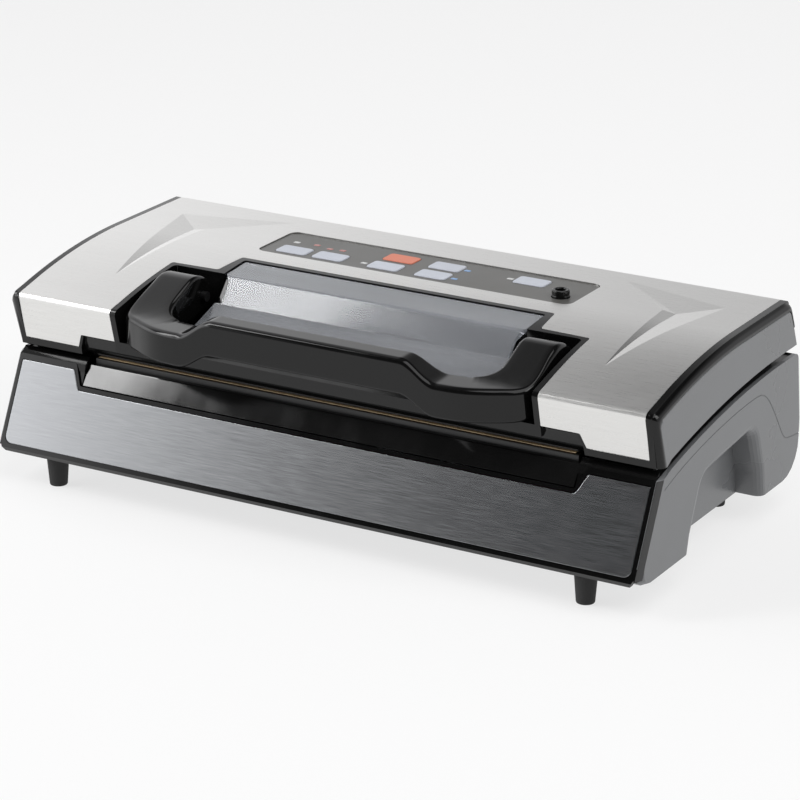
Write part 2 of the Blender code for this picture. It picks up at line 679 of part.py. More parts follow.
def lid_outline(set_back=0.0):
    """Side view of the whole lid."""
    corners = [(LID_FRONT_FOOT[0] + set_back, LID_FRONT_FOOT[1]), (CREASE[0] + set_back, CREASE[1])]
    radii = [0.8, 4.0]
    for point in crown(0.0, -74.0, 80.0, 14):
        corners.append(point)
        radii.append(0.0)
    corners += [(88.4, LID_TOP), (96.6, lid_low(96.6))]
    radii += [3.0, 0.6]
    for y in spread(86.0, -70.0, 11):
        corners.append((y, lid_low(y)))
        radii.append(0.0)
    return fillet(corners, radii, 4)


def chamfer_ring(x, drop, thickness, set_back):
    """A band under the lid's top edge."""
    start = CREASE[0] + set_back + 0.15
    upper = [(start, CREASE[1] - drop - 1.0)] + crown(drop, -79.0, 86.0, 14)
    upper.append((89.1, LID_TOP - max(drop, 3.0)))
    lower = [(y, z - thickness) for y, z in reversed(upper)]
    lower[0] = (90.4, LID_TOP - max(drop, 3.0) - thickness)
    lower[-1] = (start + 0.25 * thickness, CREASE[1] - drop - 1.0 - thickness)
    return side_ring(upper + lower, x)


def well_plan(grow):
    """Plan of the handle well."""
    half = WELL_HALF + grow
    return mirrored([(half + 0.6, -120.0), (half - 0.8, WELL_REAR + grow)])


def bay_plan(grow):
    """Plan of the window bay behind the handle well."""
    half = WINDOW_HALF + 1.0 + grow
    return rectangle(-half, half, WELL_REAR - 8.0, WINDOW_REAR + 0.6 + grow)


def steel_opening():
    """Plan of the opening in the steel cover around the handle and the window."""
    right = [(139.9, -130.0), (137.6, -21.6), (106.4, -20.6), (103.6, 1.7)]
    return fillet(mirrored(right), [0.0, 1.6, 2.0, 1.6, 1.6, 2.0, 1.6, 0.0], 3)


def lip_cutter():
    """Removes the front of the lid below the step, leaving a rounded lip."""
    lip = [(-95.0, 68.0), (-95.0, 91.5), (-80.7, 91.5), (-79.6, 90.7), (-78.2, 89.4), (-77.4, 87.4), (-76.6, 84.8),
           (-75.6, 82.2), (-74.4, 79.8), (-73.2, 78.0), (-72.6, 76.0), (-72.6, 68.0)]
    body = cutter(prism(lip, -190.0, 190.0), "lip")
    face = mirrored([(164.3, 60.0), (164.3, 77.0), (163.9, 82.3), (160.3, 91.6)])
    combine(body, "INTERSECT", cutter(prism(face, -120.0, -40.0, "Y"), "lip_front"))
    return body


def build_lid_shell():
    inside = SIDE - 3.2
    shell = part("lid_shell", prism(lid_outline(), -inside, inside), GLOSS_BLACK, LID)
    for sign in (-1, 1):
        rings = [chamfer_ring(sign * (inside - 0.8), 0.05, CHAMFER + 0.2, 0.0),
                 chamfer_ring(sign * (inside + 0.1), 0.05, CHAMFER + 0.2, 0.0),
                 chamfer_ring(sign * (SIDE - 0.05), CHAMFER - 0.1, 0.35, EDGE_BACK)]
        combine(shell, "UNION", cutter(loft(rings), "side_bevel"))
    half = STEEL_HALF + 0.2
    above = [(LID_FRONT_FOOT[0] + 1.1 - 0.2, 82.0), (CREASE[0] + STEEL_PLAY + 0.1, CREASE[1] - 1.2)]
    above += crown(STEEL_PLAY, -80.0, 86.2, 16)
    above += [(86.2, 150.0), (-130.0, 150.0), (-130.0, 82.0)]
    above = fillet(above, [0.0, 3.4] + [0.0] * (len(above) - 2), 4)
    pocket = cutter(prism(above, -half, half), "steel_pocket")
    keep = cutter(prism(steel_opening(), 95.5, 160.0, "Z"), "rim_keeper")
    combine(pocket, "DIFFERENCE", keep)
    step_keep = mirrored([(165.6, 60.0), (165.6, 81.9), (162.1, 90.6)])
    combine(pocket, "DIFFERENCE", cutter(prism(step_keep, -140.0, -20.0, "Y"), "step_keeper"))
    well = cutter(prism(fillet(well_plan(0.0), [0.0, 1.5, 1.5, 0.0], 3), WELL_FLOOR, 150.0, "Z"),
                  "well")
    bay = cutter(prism(fillet(bay_plan(0.0), [0.0, 0.0, 1.0, 1.0], 3), BAY_FLOOR, 150.0, "Z"), "bay")

    top = crown(3.4, -78.0, 84.0, 12)
    hollow = [(-74.0, 60.0), (lid_front_y(104.0) + 3.8, 104.0)] + top
    hollow += [(86.6, top[-1][1]), (93.5, 98.0), (93.8, 60.0)]
    cavity = cutter(prism(hollow, -inside + 2.4, inside - 2.4), "cavity")
    walls = cutter(prism(well_plan(WALL), WELL_FLOOR - WALL, 150.0, "Z"), "well_walls")
    bay_walls = cutter(prism(bay_plan(WALL), BAY_FLOOR - WALL, 150.0, "Z"), "bay_walls")
    lip_block = cutter(box((-166.6, 166.6), (-95.0, -65.3), (50.0, 93.0)), "lip_block")
    combine(cavity, "DIFFERENCE", walls, bay_walls, lip_block)
    under_lip = cutter(box((-167.7, 167.7), (-72.8, -50.0), (50.0, 80.0)), "under_lip")
    combine(shell, "DIFFERENCE", pocket, well, bay, cavity, lip_cutter(), under_lip)
    for sign in (-1, 1):
        relief = prism([(sign * x, y) for x, y in grown(FACET_OUTLINE, 1.0)], 100.0, 150.0, "Z")
        notch = box(sorted((sign * (HINGE_X - 6.1), sign * (HINGE_X + 0.3))), (88.0, 100.0),
                    (90.0, 100.2))
        combine(shell, "DIFFERENCE", cutter(relief, "facet_relief"), cutter(notch, "hinge_notch"))

    view = cutter(box((-94.0, 94.0), (-66.0, -8.0), (80.0, 96.0)), "view_hole")
    half_panel = PANEL_HALF + GAP
    seat = prism(fillet(rectangle(-half_panel, half_panel, PANEL_Y[0] - GAP, PANEL_Y[1] + GAP), 5.3, 4),
                 PANEL_TOP - PANEL_THICK - GAP, 150.0, "Z")
    hole = cutter(box((-99.5, 99.5), (PANEL_Y[0] + 3.5, PANEL_Y[1] - 3.5), (100.0, 150.0)), "panel_hole")
    combine(shell, "DIFFERENCE", view, cutter(seat, "panel_seat"), hole)
    for sign in (-1, 1):
        span = sorted((sign * 130.0, sign * 140.0))
        combine(shell, "DIFFERENCE", cutter(rod(3.5, *span, HANDLE_AXIS, "X", 16), "shaft_hole"))


def build_lid_cheeks():
    """Grey side covers under the black bevel."""
    def ring(x, set_back):
        upper = [(CREASE[0] + set_back + 1.1, CREASE[1] - CHAMFER - 2.6)]
        upper += crown(CHAMFER + 0.85, -79.0 + set_back * 0.5, 86.0, 13)
        upper += [(90.8, LID_TOP - CHAMFER - 3.6), (96.6, lid_low(96.6))]
        lower = [(y, lid_low(y)) for y in spread(86.0, -68.0, 10)]
        return side_ring(upper + lower + [(LID_FRONT_FOOT[0] + set_back, LID_FRONT_FOOT[1])], x)

    for side, sign in (("left", -1), ("right", 1)):
        rings = [ring(sign * (SIDE - 2.9), 0.0), ring(sign * (SIDE - EDGE_IN), 0.0),
                 ring(sign * SIDE, EDGE_BACK)]
        part(f"lid_cheek_{side}", loft(rings), GREY_PLASTIC, LID)


# Pressed facets in the steel cover, right-hand side: outline corners and the deepest point
FACET_OUTLINE = [(112.0, 74.0), (182.5, 56.5), (160.0, -49.0), (153.4, 36.0)]
FACET_APEX = (161.2, 37.0)
FACET_DEPTH = 1.5


def facet_depth(x, y):
    """How far the steel is pressed in at one place."""
    here = Vector((abs(x), y))
    apex = Vector(FACET_APEX)
    for index, corner in enumerate(FACET_OUTLINE):
        first = Vector(corner) - apex
        second = Vector(FACET_OUTLINE[(index + 1) % len(FACET_OUTLINE)]) - apex
        area = first.x * second.y - first.y * second.x
        reach = here - apex
        along = (reach.x * second.y - reach.y * second.x) / area
        across = (first.x * reach.y - first.y * reach.x) / area
        if along >= -1e-6 and across >= -1e-6 and along + across <= 1.0:
            return FACET_DEPTH * (1.0 - along - across)
    return 0.0


def press_facets(builder):
    """Cut the facet lines into the sheet, then push their inside down."""
    lines = list(zip(FACET_OUTLINE, FACET_OUTLINE[1:] + FACET_OUTLINE[:1]))
    lines += [(FACET_APEX, corner) for corner in FACET_OUTLINE]
    for sign in (-1, 1):
        for start, end in lines:
            first = Vector((sign * start[0], start[1], 0.0)) * MM
            last = Vector((sign * end[0], end[1], 0.0)) * MM
            normal = (last - first).cross(Vector((0.0, 0.0, 1.0))).normalized()
            faces = [face for face in builder.faces
                     if 108.0 * MM < sign * face.calc_center_median().x < 188.0 * MM
                     and face.calc_center_median().y > -62.0 * MM]
            edges = {edge for face in faces for edge in face.edges}
            corners = {corner for face in faces for corner in face.verts}
            bmesh.ops.bisect_plane(builder, geom=list(corners) + list(edges) + faces, dist=1e-7,
                                   plane_co=first, plane_no=normal)
    bmesh.ops.triangulate(builder, faces=builder.faces)
    for corner in builder.verts:
        corner.co.z -= facet_depth(corner.co.x / MM, corner.co.y / MM) * MM
    return builder


def build_steel_cover():
    """One bent sheet over the top and down the front of the lid."""
    foot = 82.3
    outer = [(lid_front_y(foot), foot), CREASE] + crown(0.0, -74.0, 86.0, 17)
    outer = fillet(outer + [(86.0, LID_TOP - 1.0)], [0.0, 4.0] + [0.0] * 18, 5)[:-1]
    inner = []
    for y, z in outer:
        inner.append((y, z))
    sheet = []
    for index, (y, z) in enumerate(inner):
        before = Vector(inner[max(index - 1, 0)])
        after = Vector(inner[min(index + 1, len(inner) - 1)])
        along = (after - before).normalized()
        sheet.append((y + along.y * STEEL_THICK, z - along.x * STEEL_THICK))
    outline = outer + list(reversed(sheet))
    rings = [side_ring(outline, x) for x in (-STEEL_HALF, -188.0, -108.0, 108.0, 188.0, STEEL_HALF)]
    cover = part("steel_cover", press_facets(loft(rings)), BRUSHED_STEEL, LID)
    opening = cutter(prism(steel_opening(), 60.0, 160.0, "Z"), "opening")
    step = mirrored([(165.9, 60.0), (165.9, 82.2), (162.4, 90.9)])
    steps = cutter(prism(step, -140.0, -60.0, "Y"), "step")
    half = PANEL_HALF + 0.3
    panel = prism(fillet(rectangle(-half, half, PANEL_Y[0] - 0.3, PANEL_Y[1] + 0.3), 5.3, 5),
                  110.0, 150.0, "Z")
    combine(cover, "DIFFERENCE", opening, steps, cutter(panel, "panel_opening"))


def build_window():
    rear_z = lid_top(WINDOW_REAR) - 0.7
    crease = (WINDOW_CREASE[0], WINDOW_CREASE[1] - 0.4)
    upper = [(WINDOW_REAR, rear_z), crease, WINDOW_FOOT, WINDOW_FRONT]
    lower = [(-66.4, 95.9), (-35.3, 106.2), (-23.6, 119.7), (WINDOW_REAR, rear_z - WINDOW_THICK)]
    sheet = fillet(upper + lower, [0.3, 2.6, 1.0, 0.4, 0.0, 3.0, 0.6, 0.0], 4)
    part("viewing_window", prism(sheet, -WINDOW_HALF, WINDOW_HALF), CLEAR, LID)

    under = [(WINDOW_REAR, rear_z - WINDOW_THICK - GAP), (-23.3, 119.2), (-35.0, 105.7), (-66.3, 95.4)]
    lip = [(-67.4, 95.4), (-67.4, 97.8), (-70.4, 96.4), (-72.4, WELL_FLOOR + GAP)]
    block = [(WINDOW_REAR, BAY_FLOOR + GAP)] + under + lip
    block += [(WELL_REAR - 0.4, WELL_FLOOR + GAP), (WELL_REAR - 0.4, BAY_FLOOR + GAP)]
    block = fillet(block, [0.0, 0.0, 0.6, 2.6, 0.0, 0.0, 0.3, 1.5, 0.0, 0.0, 0.0], 4)
    frame = part("window_frame", prism(block, -WINDOW_HALF, WINDOW_HALF), GLOSS_BLACK, LID)
    hollow = [(WINDOW_REAR - 3.0, 80.0), (WINDOW_REAR - 3.0, 140.0), (-64.6, 140.0), (-64.6, 80.0)]
    hollow = cutter(prism(hollow, -WINDOW_HALF + 3.0, WINDOW_HALF - 3.0), "frame_hollow")
    combine(frame, "DIFFERENCE", hollow)


def build_liner():
    """Inner cover of the lid with the upper half of the vacuum chamber."""
    def strip(y_low, y_high, count):
        lower = [(y, lid_low(y) - 0.8) for y in spread(y_low, y_high, count)]
        return lower, [(y, z + 2.2) for y, z in reversed(lower)]

    lower, upper = strip(-19.0, 80.0, 7)
    middle = [(CHAMBER_Y[0], LINER_Z), (CHAMBER_Y[1], LINER_Z)] + lower + upper
    middle += [(CHAMBER_Y[1] - 2.0, LINER_Z + 2.2), (CHAMBER_Y[0], LINER_Z + 2.2)]
    liner = part("lid_liner", prism(middle, -CHAMBER_HALF, CHAMBER_HALF), SATIN_BLACK, LID)
    for sign in (-1, 1):
        lower, upper = strip(-65.0, 80.0, 10)
        span = sorted((sign * (CHAMBER_HALF - 0.5), sign * 198.4))
        combine(liner, "UNION", cutter(prism(lower + upper, *span), "liner_side"))
        web = [(-60.0, LINER_Z + 0.1), (-21.0, LINER_Z + 0.1), (-19.6, 88.6), (-30.0, 87.0),
               (-60.0, LINER_Z + 1.8)]
        span = sorted((sign * (CHAMBER_HALF - 2.4), sign * CHAMBER_HALF))
        combine(liner, "UNION", cutter(prism(web, *span), "liner_web"))
        span = sorted((sign * (HOOK_X - 6.0), sign * (HOOK_X + 6.0)))
        combine(liner, "DIFFERENCE", cutter(box(span, (-68.0, -23.0), (60.0, 110.0)), "hook_slot"))
    dome = box((-151.0, 151.0), (-55.0, -30.0), (LINER_Z + 1.0, 88.1))
    hollow = prism(fillet(rectangle(-148.8, 148.8, -52.8, -32.2), 4.0, 4), 60.0, 86.0, "Z")
    combine(liner, "UNION", cutter(dome, "dome"))
    combine(liner, "DIFFERENCE", cutter(hollow, "dome_hollow"))
    gasket_ring("upper_gasket", LINER_Z - 2.3, LINER_Z - GAP, LID)
    strip_outline = fillet([(-72.4, 76.6), (-72.4, 79.7), (-65.6, 79.7), (-65.6, 76.6)],
                           [1.2, 0.0, 0.0, 1.2], 3)
    part("pressure_strip", prism(strip_outline, -157.0, 157.0), RED_SILICONE, LID)


# Control panel ----------------------------------------------------------------------------

def build_panel():
    low = PANEL_TOP - PANEL_THICK
    outline = fillet(rectangle(-PANEL_HALF, PANEL_HALF, *PANEL_Y), 5.0, 5)
    panel = part("control_panel", prism(outline, low, PANEL_TOP, "Z"), PANEL_GREY, LID)
    board_z = 114.4
    board = part("control_board", box((-101.5, 101.5), (18.6, 58.4), (board_z, board_z + 1.6)),
                 BOARD_GREEN, LID)
    for x, y in ((-98.0, 21.5), (98.0, 21.5), (-98.0, 55.5), (98.0, 55.5)):
        post = rod(2.2, board_z + 1.0, LID_TOP - 3.4 - 0.4, (math.copysign(101.0, x), y), "Z", 12)
        if abs(y - 21.5) < 1.0:
            post = box((math.copysign(101.0, x) - 1.6, math.copysign(101.0, x) + 1.6),
                       (18.8, 20.4), (board_z + 1.0, LID_TOP - 3.4 - 0.4))
        else:
            post = box((math.copysign(101.0, x) - 1.6, math.copysign(101.0, x) + 1.6),
                       (56.6, 58.2), (board_z + 1.0, LID_TOP - 3.4 - 0.4))
        combine(board, "UNION", cutter(post, "board_post"))
    for name, (x, y) in KEYS.items():
        half_x, half_y = KEY_SIZE[0] / 2, KEY_SIZE[1] / 2
        window = rectangle(x - half_x - GAP, x + half_x + GAP, y - half_y - GAP, y + half_y + GAP)
        combine(panel, "DIFFERENCE", cutter(prism(fillet(window, 2.2, 4), 110.0, 140.0, "Z"), "key_hole"))
        switch = box((x - 3.0, x + 3.0), (y - 3.0, y + 3.0), (board_z + 1.0, 119.3))
        combine(board, "UNION", cutter(switch, "switch"))
        outline = fillet(rectangle(-half_x, half_x, -half_y, half_y), 2.0, 4)
        rings = [[(a, b, 120.2 - PANEL_TOP) for a, b in outline],
                 [(a, b, KEY_PROUD - 0.4) for a, b in outline],
                 [(a * 0.965, b * 0.945, KEY_PROUD) for a, b in outline]]
        look = KEY_ORANGE if name == "key_stop" else KEY_PALE
        key = part(name, loft(rings), look, LID)
        key.location = Vector((x, y, PANEL_TOP)) * MM - LID.location
    hole = cutter(rod(5.6, 100.0, 140.0, PORT, "Z", 24), "port_hole")
    combine(panel, "DIFFERENCE", hole)
    board_hole = cutter(rod(6.5, 100.0, 140.0, PORT, "Z", 24), "board_port_hole")
    combine(board, "DIFFERENCE", board_hole)
    port = part("accessory_port", rod(5.2, 108.0, PORT_TOP, PORT, "Z", 32), SATIN_BLACK, LID)
    neck = cutter(rod(3.0, 100.0, 140.0, PORT, "Z", 24), "port_bore")
    combine(port, "DIFFERENCE", neck)
    tube("port_hose", [(PORT[0], PORT[1], 107.6), (PORT[0], PORT[1], 103.0), (PORT[0] + 6.0, 18.0, 99.5),
                       (PORT[0] + 16.0, -4.0, 98.0), (PORT[0] + 20.0, -10.0, 97.0),
                       (PORT[0] + 20.0, -13.0, 95.0)], 2.6, CLEAR_HOSE, PARTS, carrier=LID)


# Handle -----------------------------------------------------------------------------------

# Plan points of the inner and the outer edge, from the middle of the bar to an arm's end
HANDLE_RAILS = [
    ((0.0, -85.0), (0.0, -100.1)), ((52.0, -85.0), (52.0, -100.1)),
    ((60.0, -84.9), (60.0, -100.1)), ((63.0, -84.6), (63.5, -100.1)), ((66.0, -84.2), (67.0, -100.1)),
    ((69.0, -83.4), (70.5, -100.1)), ((72.0, -82.4), (74.0, -100.1)),
    ((75.0, -81.3), (77.5, -100.1)), ((78.0, -80.2), (81.0, -100.0)),
    ((84.0, -78.6), (88.0, -99.8)), ((90.0, -77.9), (96.0, -99.0)), ((95.0, -77.2), (103.0, -97.3)),
    ((99.5, -75.4), (110.0, -94.4)), ((103.0, -72.6), (117.6, -90.4)),
    ((105.6, -69.0), (125.4, -86.0)), ((106.8, -65.0), (130.2, -81.2)),
    ((107.0, -60.5), (132.0, -74.0)), ((107.0, -56.0), (132.0, -65.0)),
    ((107.0, -51.5), (131.3, -55.0)), ((107.0, -47.5), (131.2, -48.5)),
    ((107.0, -44.0), (131.1, -44.3)), ((107.0, -40.5), (131.0, -40.5)),
    ((107.0, -37.0), (131.0, -37.0)), ((107.0, -34.0), (130.9, -34.0)),
    ((107.0, -31.6), (130.8, -31.6)), ((107.0, -30.0), (130.6, -30.0)), ((107.0, -29.0), (130.3, -29.0)),
]
BAR_RAISED = (100.4, 121.0)
BAR_LOWERED = (90.6, 110.0)
RISE_X = (61.0, 83.0)      # the bar steps up between these places
ARM_TOP = [(-86.0, 110.0), (-80.0, 110.4), (-72.0, 112.8), (-65.0, 115.8), (-57.0, 119.5),
           (-50.0, 122.6), (-46.5, 123.8), (-42.0, 124.2), (-38.0, 123.6), (-34.0, 122.2),
           (-31.0, 120.4), (-29.6, 118.0), (-29.0, 115.0)]
ARM_BOTTOM = [(-90.0, 90.6), (-84.0, 91.0), (-80.0, 91.6), (-75.0, 93.2), (-68.0, 95.8),
              (-58.0, 98.0), (-44.0, 100.4), (-35.0, 102.6), (-31.0, 105.0), (-29.0, 109.0)]


def ramp_between(value, low, high):
    """Smooth step from 0 to 1."""
    share = min(1.0, max(0.0, (value - low) / (high - low)))
    return share * share * (3.0 - 2.0 * share)


def follow(points, y):
    """Straight-line look-up along a short list of (y, z)."""
    for (y0, z0), (y1, z1) in zip(points, points[1:]):
        if y <= y1:
            return z0 + (z1 - z0) * max(0.0, (y - y0) / (y1 - y0))
    return points[-1][1]


def handle_heights(x, y):
    """Lower and upper height of the handle at one plan point."""
    share = ramp_between(x, *RISE_X)
    if y < -77.0 and x < 100.0:
        low = BAR_RAISED[0] + (BAR_LOWERED[0] - BAR_RAISED[0]) * share
        high = BAR_RAISED[1] + (BAR_LOWERED[1] - BAR_RAISED[1]) * share
        return (low if y < -82.0 else max(low, 91.5)), high
    return follow(ARM_BOTTOM, y), follow(ARM_TOP, y)


def section_ring(inner, outer):
    """A four-sided section with rounded corners, standing between two plan points."""
    width = (Vector(outer) - Vector(inner)).length
    low_inner, high_inner = handle_heights(*inner)
    low_outer, high_outer = handle_heights(*outer)
    outline = fillet([(0.0, low_inner), (width, low_outer), (width, high_outer), (0.0, high_inner)],
                     [1.6, 2.0, 3.0, 2.0], 3)
    along = (Vector(outer) - Vector(inner)) / width
    return [(inner[0] + along.x * s, inner[1] + along.y * s, z) for s, z in outline]


def build_handle():
    right = [section_ring(*rails) for rails in HANDLE_RAILS]
    left = [[(-x, y, z) for x, y, z in ring] for ring in reversed(right[1:])]
    handle = part("handle", loft(left + right), GLOSS_BLACK, HANDLE, smooth=True)
    for side, sign in (("left", -1), ("right", 1)):
        span = sorted((sign * 102.0, sign * 134.0))
        combine(handle, "DIFFERENCE", cutter(rod(3.3, *span, HANDLE_AXIS, "X", 16), "shaft_bore"))
        span = sorted((sign * 104.0, sign * (HOOK_X + 5.0)))
        part(f"latch_shaft_{side}", rod(3.0, *span, HANDLE_AXIS, "X", 16), PLAIN_STEEL, HANDLE,
             smooth=True)
        y, z = HANDLE_AXIS
        hub = [(y + 6.0 * math.cos(math.radians(a)), z + 6.0 * math.sin(math.radians(a)))
               for a in range(-40, 221, 20)]
        leg = hub + [(y - 3.6, 96.0), (y - 3.6, 70.6), (y - 1.0, 69.0), (y + 7.4, 71.4), (y + 7.4, 73.2),
                     (y + 3.4, 74.4), (y + 3.4, 96.0)]
        x = sign * HOOK_X
        hook = part(f"latch_hook_{side}", prism(leg, x - 4.0, x + 4.0), SATIN_BLACK, HANDLE)
        combine(hook, "DIFFERENCE", cutter(rod(3.3, x - 6.0, x + 6.0, HANDLE_AXIS, "X", 16), "hub_bore"))


build_base_shell()
build_front()
build_deck()
build_works()
build_feet()
build_hinges()
build_lid_shell()
build_lid_cheeks()
build_steel_cover()
build_window()
build_liner()
build_panel()
build_handle()
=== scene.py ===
"""Looks of the countertop vacuum sealer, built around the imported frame.

Outlines are in millimetres and the meshes in metres, in the frame's own axes.
"""

import math

import bmesh
import bpy
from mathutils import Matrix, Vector


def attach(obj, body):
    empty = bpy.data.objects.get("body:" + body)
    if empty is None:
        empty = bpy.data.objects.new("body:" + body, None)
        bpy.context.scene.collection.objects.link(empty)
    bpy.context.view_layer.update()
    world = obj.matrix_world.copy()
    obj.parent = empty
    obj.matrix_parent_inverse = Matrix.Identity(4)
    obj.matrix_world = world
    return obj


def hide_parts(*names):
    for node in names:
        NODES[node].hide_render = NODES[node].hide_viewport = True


MM = 0.001

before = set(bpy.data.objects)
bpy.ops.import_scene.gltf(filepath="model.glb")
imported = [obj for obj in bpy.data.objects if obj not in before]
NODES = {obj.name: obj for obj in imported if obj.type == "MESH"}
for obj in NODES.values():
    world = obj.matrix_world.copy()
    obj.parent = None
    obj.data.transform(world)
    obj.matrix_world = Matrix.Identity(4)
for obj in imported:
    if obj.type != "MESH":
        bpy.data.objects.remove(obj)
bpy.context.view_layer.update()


# Camera, floor and light ------------------------------------------------------------------

def make_camera():
    data = bpy.data.cameras.new("camera")
    data.lens = 150.4
    data.sensor_width = 36.0
    data.clip_start = 0.05
    data.clip_end = 50.0
    camera = bpy.data.objects.new("camera", data)
    camera.location = (0.9196, -1.5733, 0.7157)
    camera.rotation_euler = (math.radians(90.0 - 19.93), 0.0, math.radians(30.19))
    bpy.context.scene.collection.objects.link(camera)
    bpy.context.scene.camera = camera


def area_light(name, place, target, size, power):
    """A soft rectangular light that points at a target."""
    data = bpy.data.lights.new(name, "AREA")
    data.shape = "RECTANGLE"
    data.size, data.size_y = size
    data.energy = power
    light = bpy.data.objects.new(name, data)
    light.location = place
    aim = Vector(target) - Vector(place)
    light.rotation_euler = aim.to_track_quat("-Z", "Y").to_euler()
    bpy.context.scene.collection.objects.link(light)


# Brightness of the studio against one axis of the direction: height for the four areas of
# the sky, and X for the share of the bright left wall
SKY_BEHIND = [(0.0, 0.7), (0.34, 0.72), (0.52, 0.30), (0.68, 0.04), (0.98, 0.12)]
SKY_BEFORE = [(0.0, 0.20), (0.35, 0.04), (0.70, 0.04), (0.98, 0.12)]
SKY_LEFT = [(0.0, 0.95), (0.35, 1.25), (0.7, 1.2), (0.98, 1.4)]
SKY_NEAR_LEFT = [(0.0, 1.9), (0.40, 3.3), (0.60, 0.4), (0.74, 0.5), (0.98, 1.4)]
LEFT_BEHIND = [(-0.62, 1.0), (-0.36, 0.0)]
LEFT_BEFORE = [(-0.61, 1.0), (-0.495, 0.0)]


def make_studio():
    scene = bpy.context.scene
    scene.view_settings.view_transform = "Standard"
    world = bpy.data.worlds.new("studio")
    scene.world = world
    world.use_nodes = True
    nodes, links = world.node_tree.nodes, world.node_tree.links
    background = nodes["Background"]
    place = nodes.new("ShaderNodeTexCoord")
    split = nodes.new("ShaderNodeSeparateXYZ")
    links.new(place.outputs["Generated"], split.inputs[0])

    def ramp(source, low, high, stops):
        """Grey levels along one direction axis."""
        spread = nodes.new("ShaderNodeMapRange")
        spread.inputs[1].default_value = low
        spread.inputs[2].default_value = high
        links.new(source, spread.inputs[0])
        band = nodes.new("ShaderNodeValToRGB")
        band.color_ramp.interpolation = "EASE"
        elements = band.color_ramp.elements
        while len(elements) < len(stops):
            elements.new(0.5)
        for element, (place_, level) in zip(elements, stops):
            element.position = (place_ - low) / (high - low)
            element.color = (level, level, level * 1.01, 1.0)
        links.new(spread.outputs[0], band.inputs[0])
        return band.outputs[0]

    def mix(factor, first, second):
        node = nodes.new("ShaderNodeMix")
        node.data_type = "RGBA"
        links.new(factor, node.inputs[0])
        links.new(first, node.inputs[6])
        links.new(second, node.inputs[7])
        return node.outputs[2]

    x, y, z = (split.outputs[axis] for axis in "XYZ")
    behind = mix(ramp(x, -1.0, 1.0, LEFT_BEHIND), ramp(z, -0.2, 1.0, SKY_BEHIND),
                 ramp(z, -0.2, 1.0, SKY_LEFT))
    before = mix(ramp(x, -1.0, 1.0, LEFT_BEFORE), ramp(z, -0.2, 1.0, SKY_BEFORE),
                 ramp(z, -0.2, 1.0, SKY_NEAR_LEFT))
    rear = ramp(y, -0.3, 0.3, [(-0.2, 0.0), (0.2, 1.0)])
    links.new(mix(rear, before, behind), background.inputs[0])
    background.inputs[1].default_value = 1.0

    data = bpy.data.meshes.new("floor")
    reach = 6.0
    builder = bmesh.new()
    bmesh.ops.create_grid(builder, x_segments=1, y_segments=1, size=reach)
    builder.to_mesh(data)
    builder.free()
    floor = bpy.data.objects.new("floor", data)
    scene.collection.objects.link(floor)
    look = bpy.data.materials.new("floor")
    look.use_nodes = True
    shader = look.node_tree.nodes["Principled BSDF"]
    shader.inputs["Base Color"].default_value = (0.26, 0.26, 0.26, 1.0)
    shader.inputs["Roughness"].default_value = 0.9
    shader.inputs["Specular IOR Level"].default_value = 0.1
    shader.inputs["Emission Color"].default_value = (1.0, 1.0, 1.0, 1.0)
    shader.inputs["Emission Strength"].default_value = 0.7
    data.materials.append(look)

    centre = (0.0, 0.0, 0.08)
    area_light("top_box", (1.0, -0.3, 2.2), centre, (2.2, 2.0), 28.0)
    area_light("left_box_low", (-1.078, -0.776, 0.985), (-0.099, -0.071, -0.018), (0.36, 0.5), 5.1)
    area_light("left_box_high", (-0.902, -0.581, 1.293), (0.077, 0.124, 0.29), (0.34, 0.3), 2.9)
    area_light("right_box", (2.2, 0.3, 1.6), centre, (1.2, 1.2), 13.0)


make_camera()
make_studio()


# Materials --------------------------------------------------------------------------------

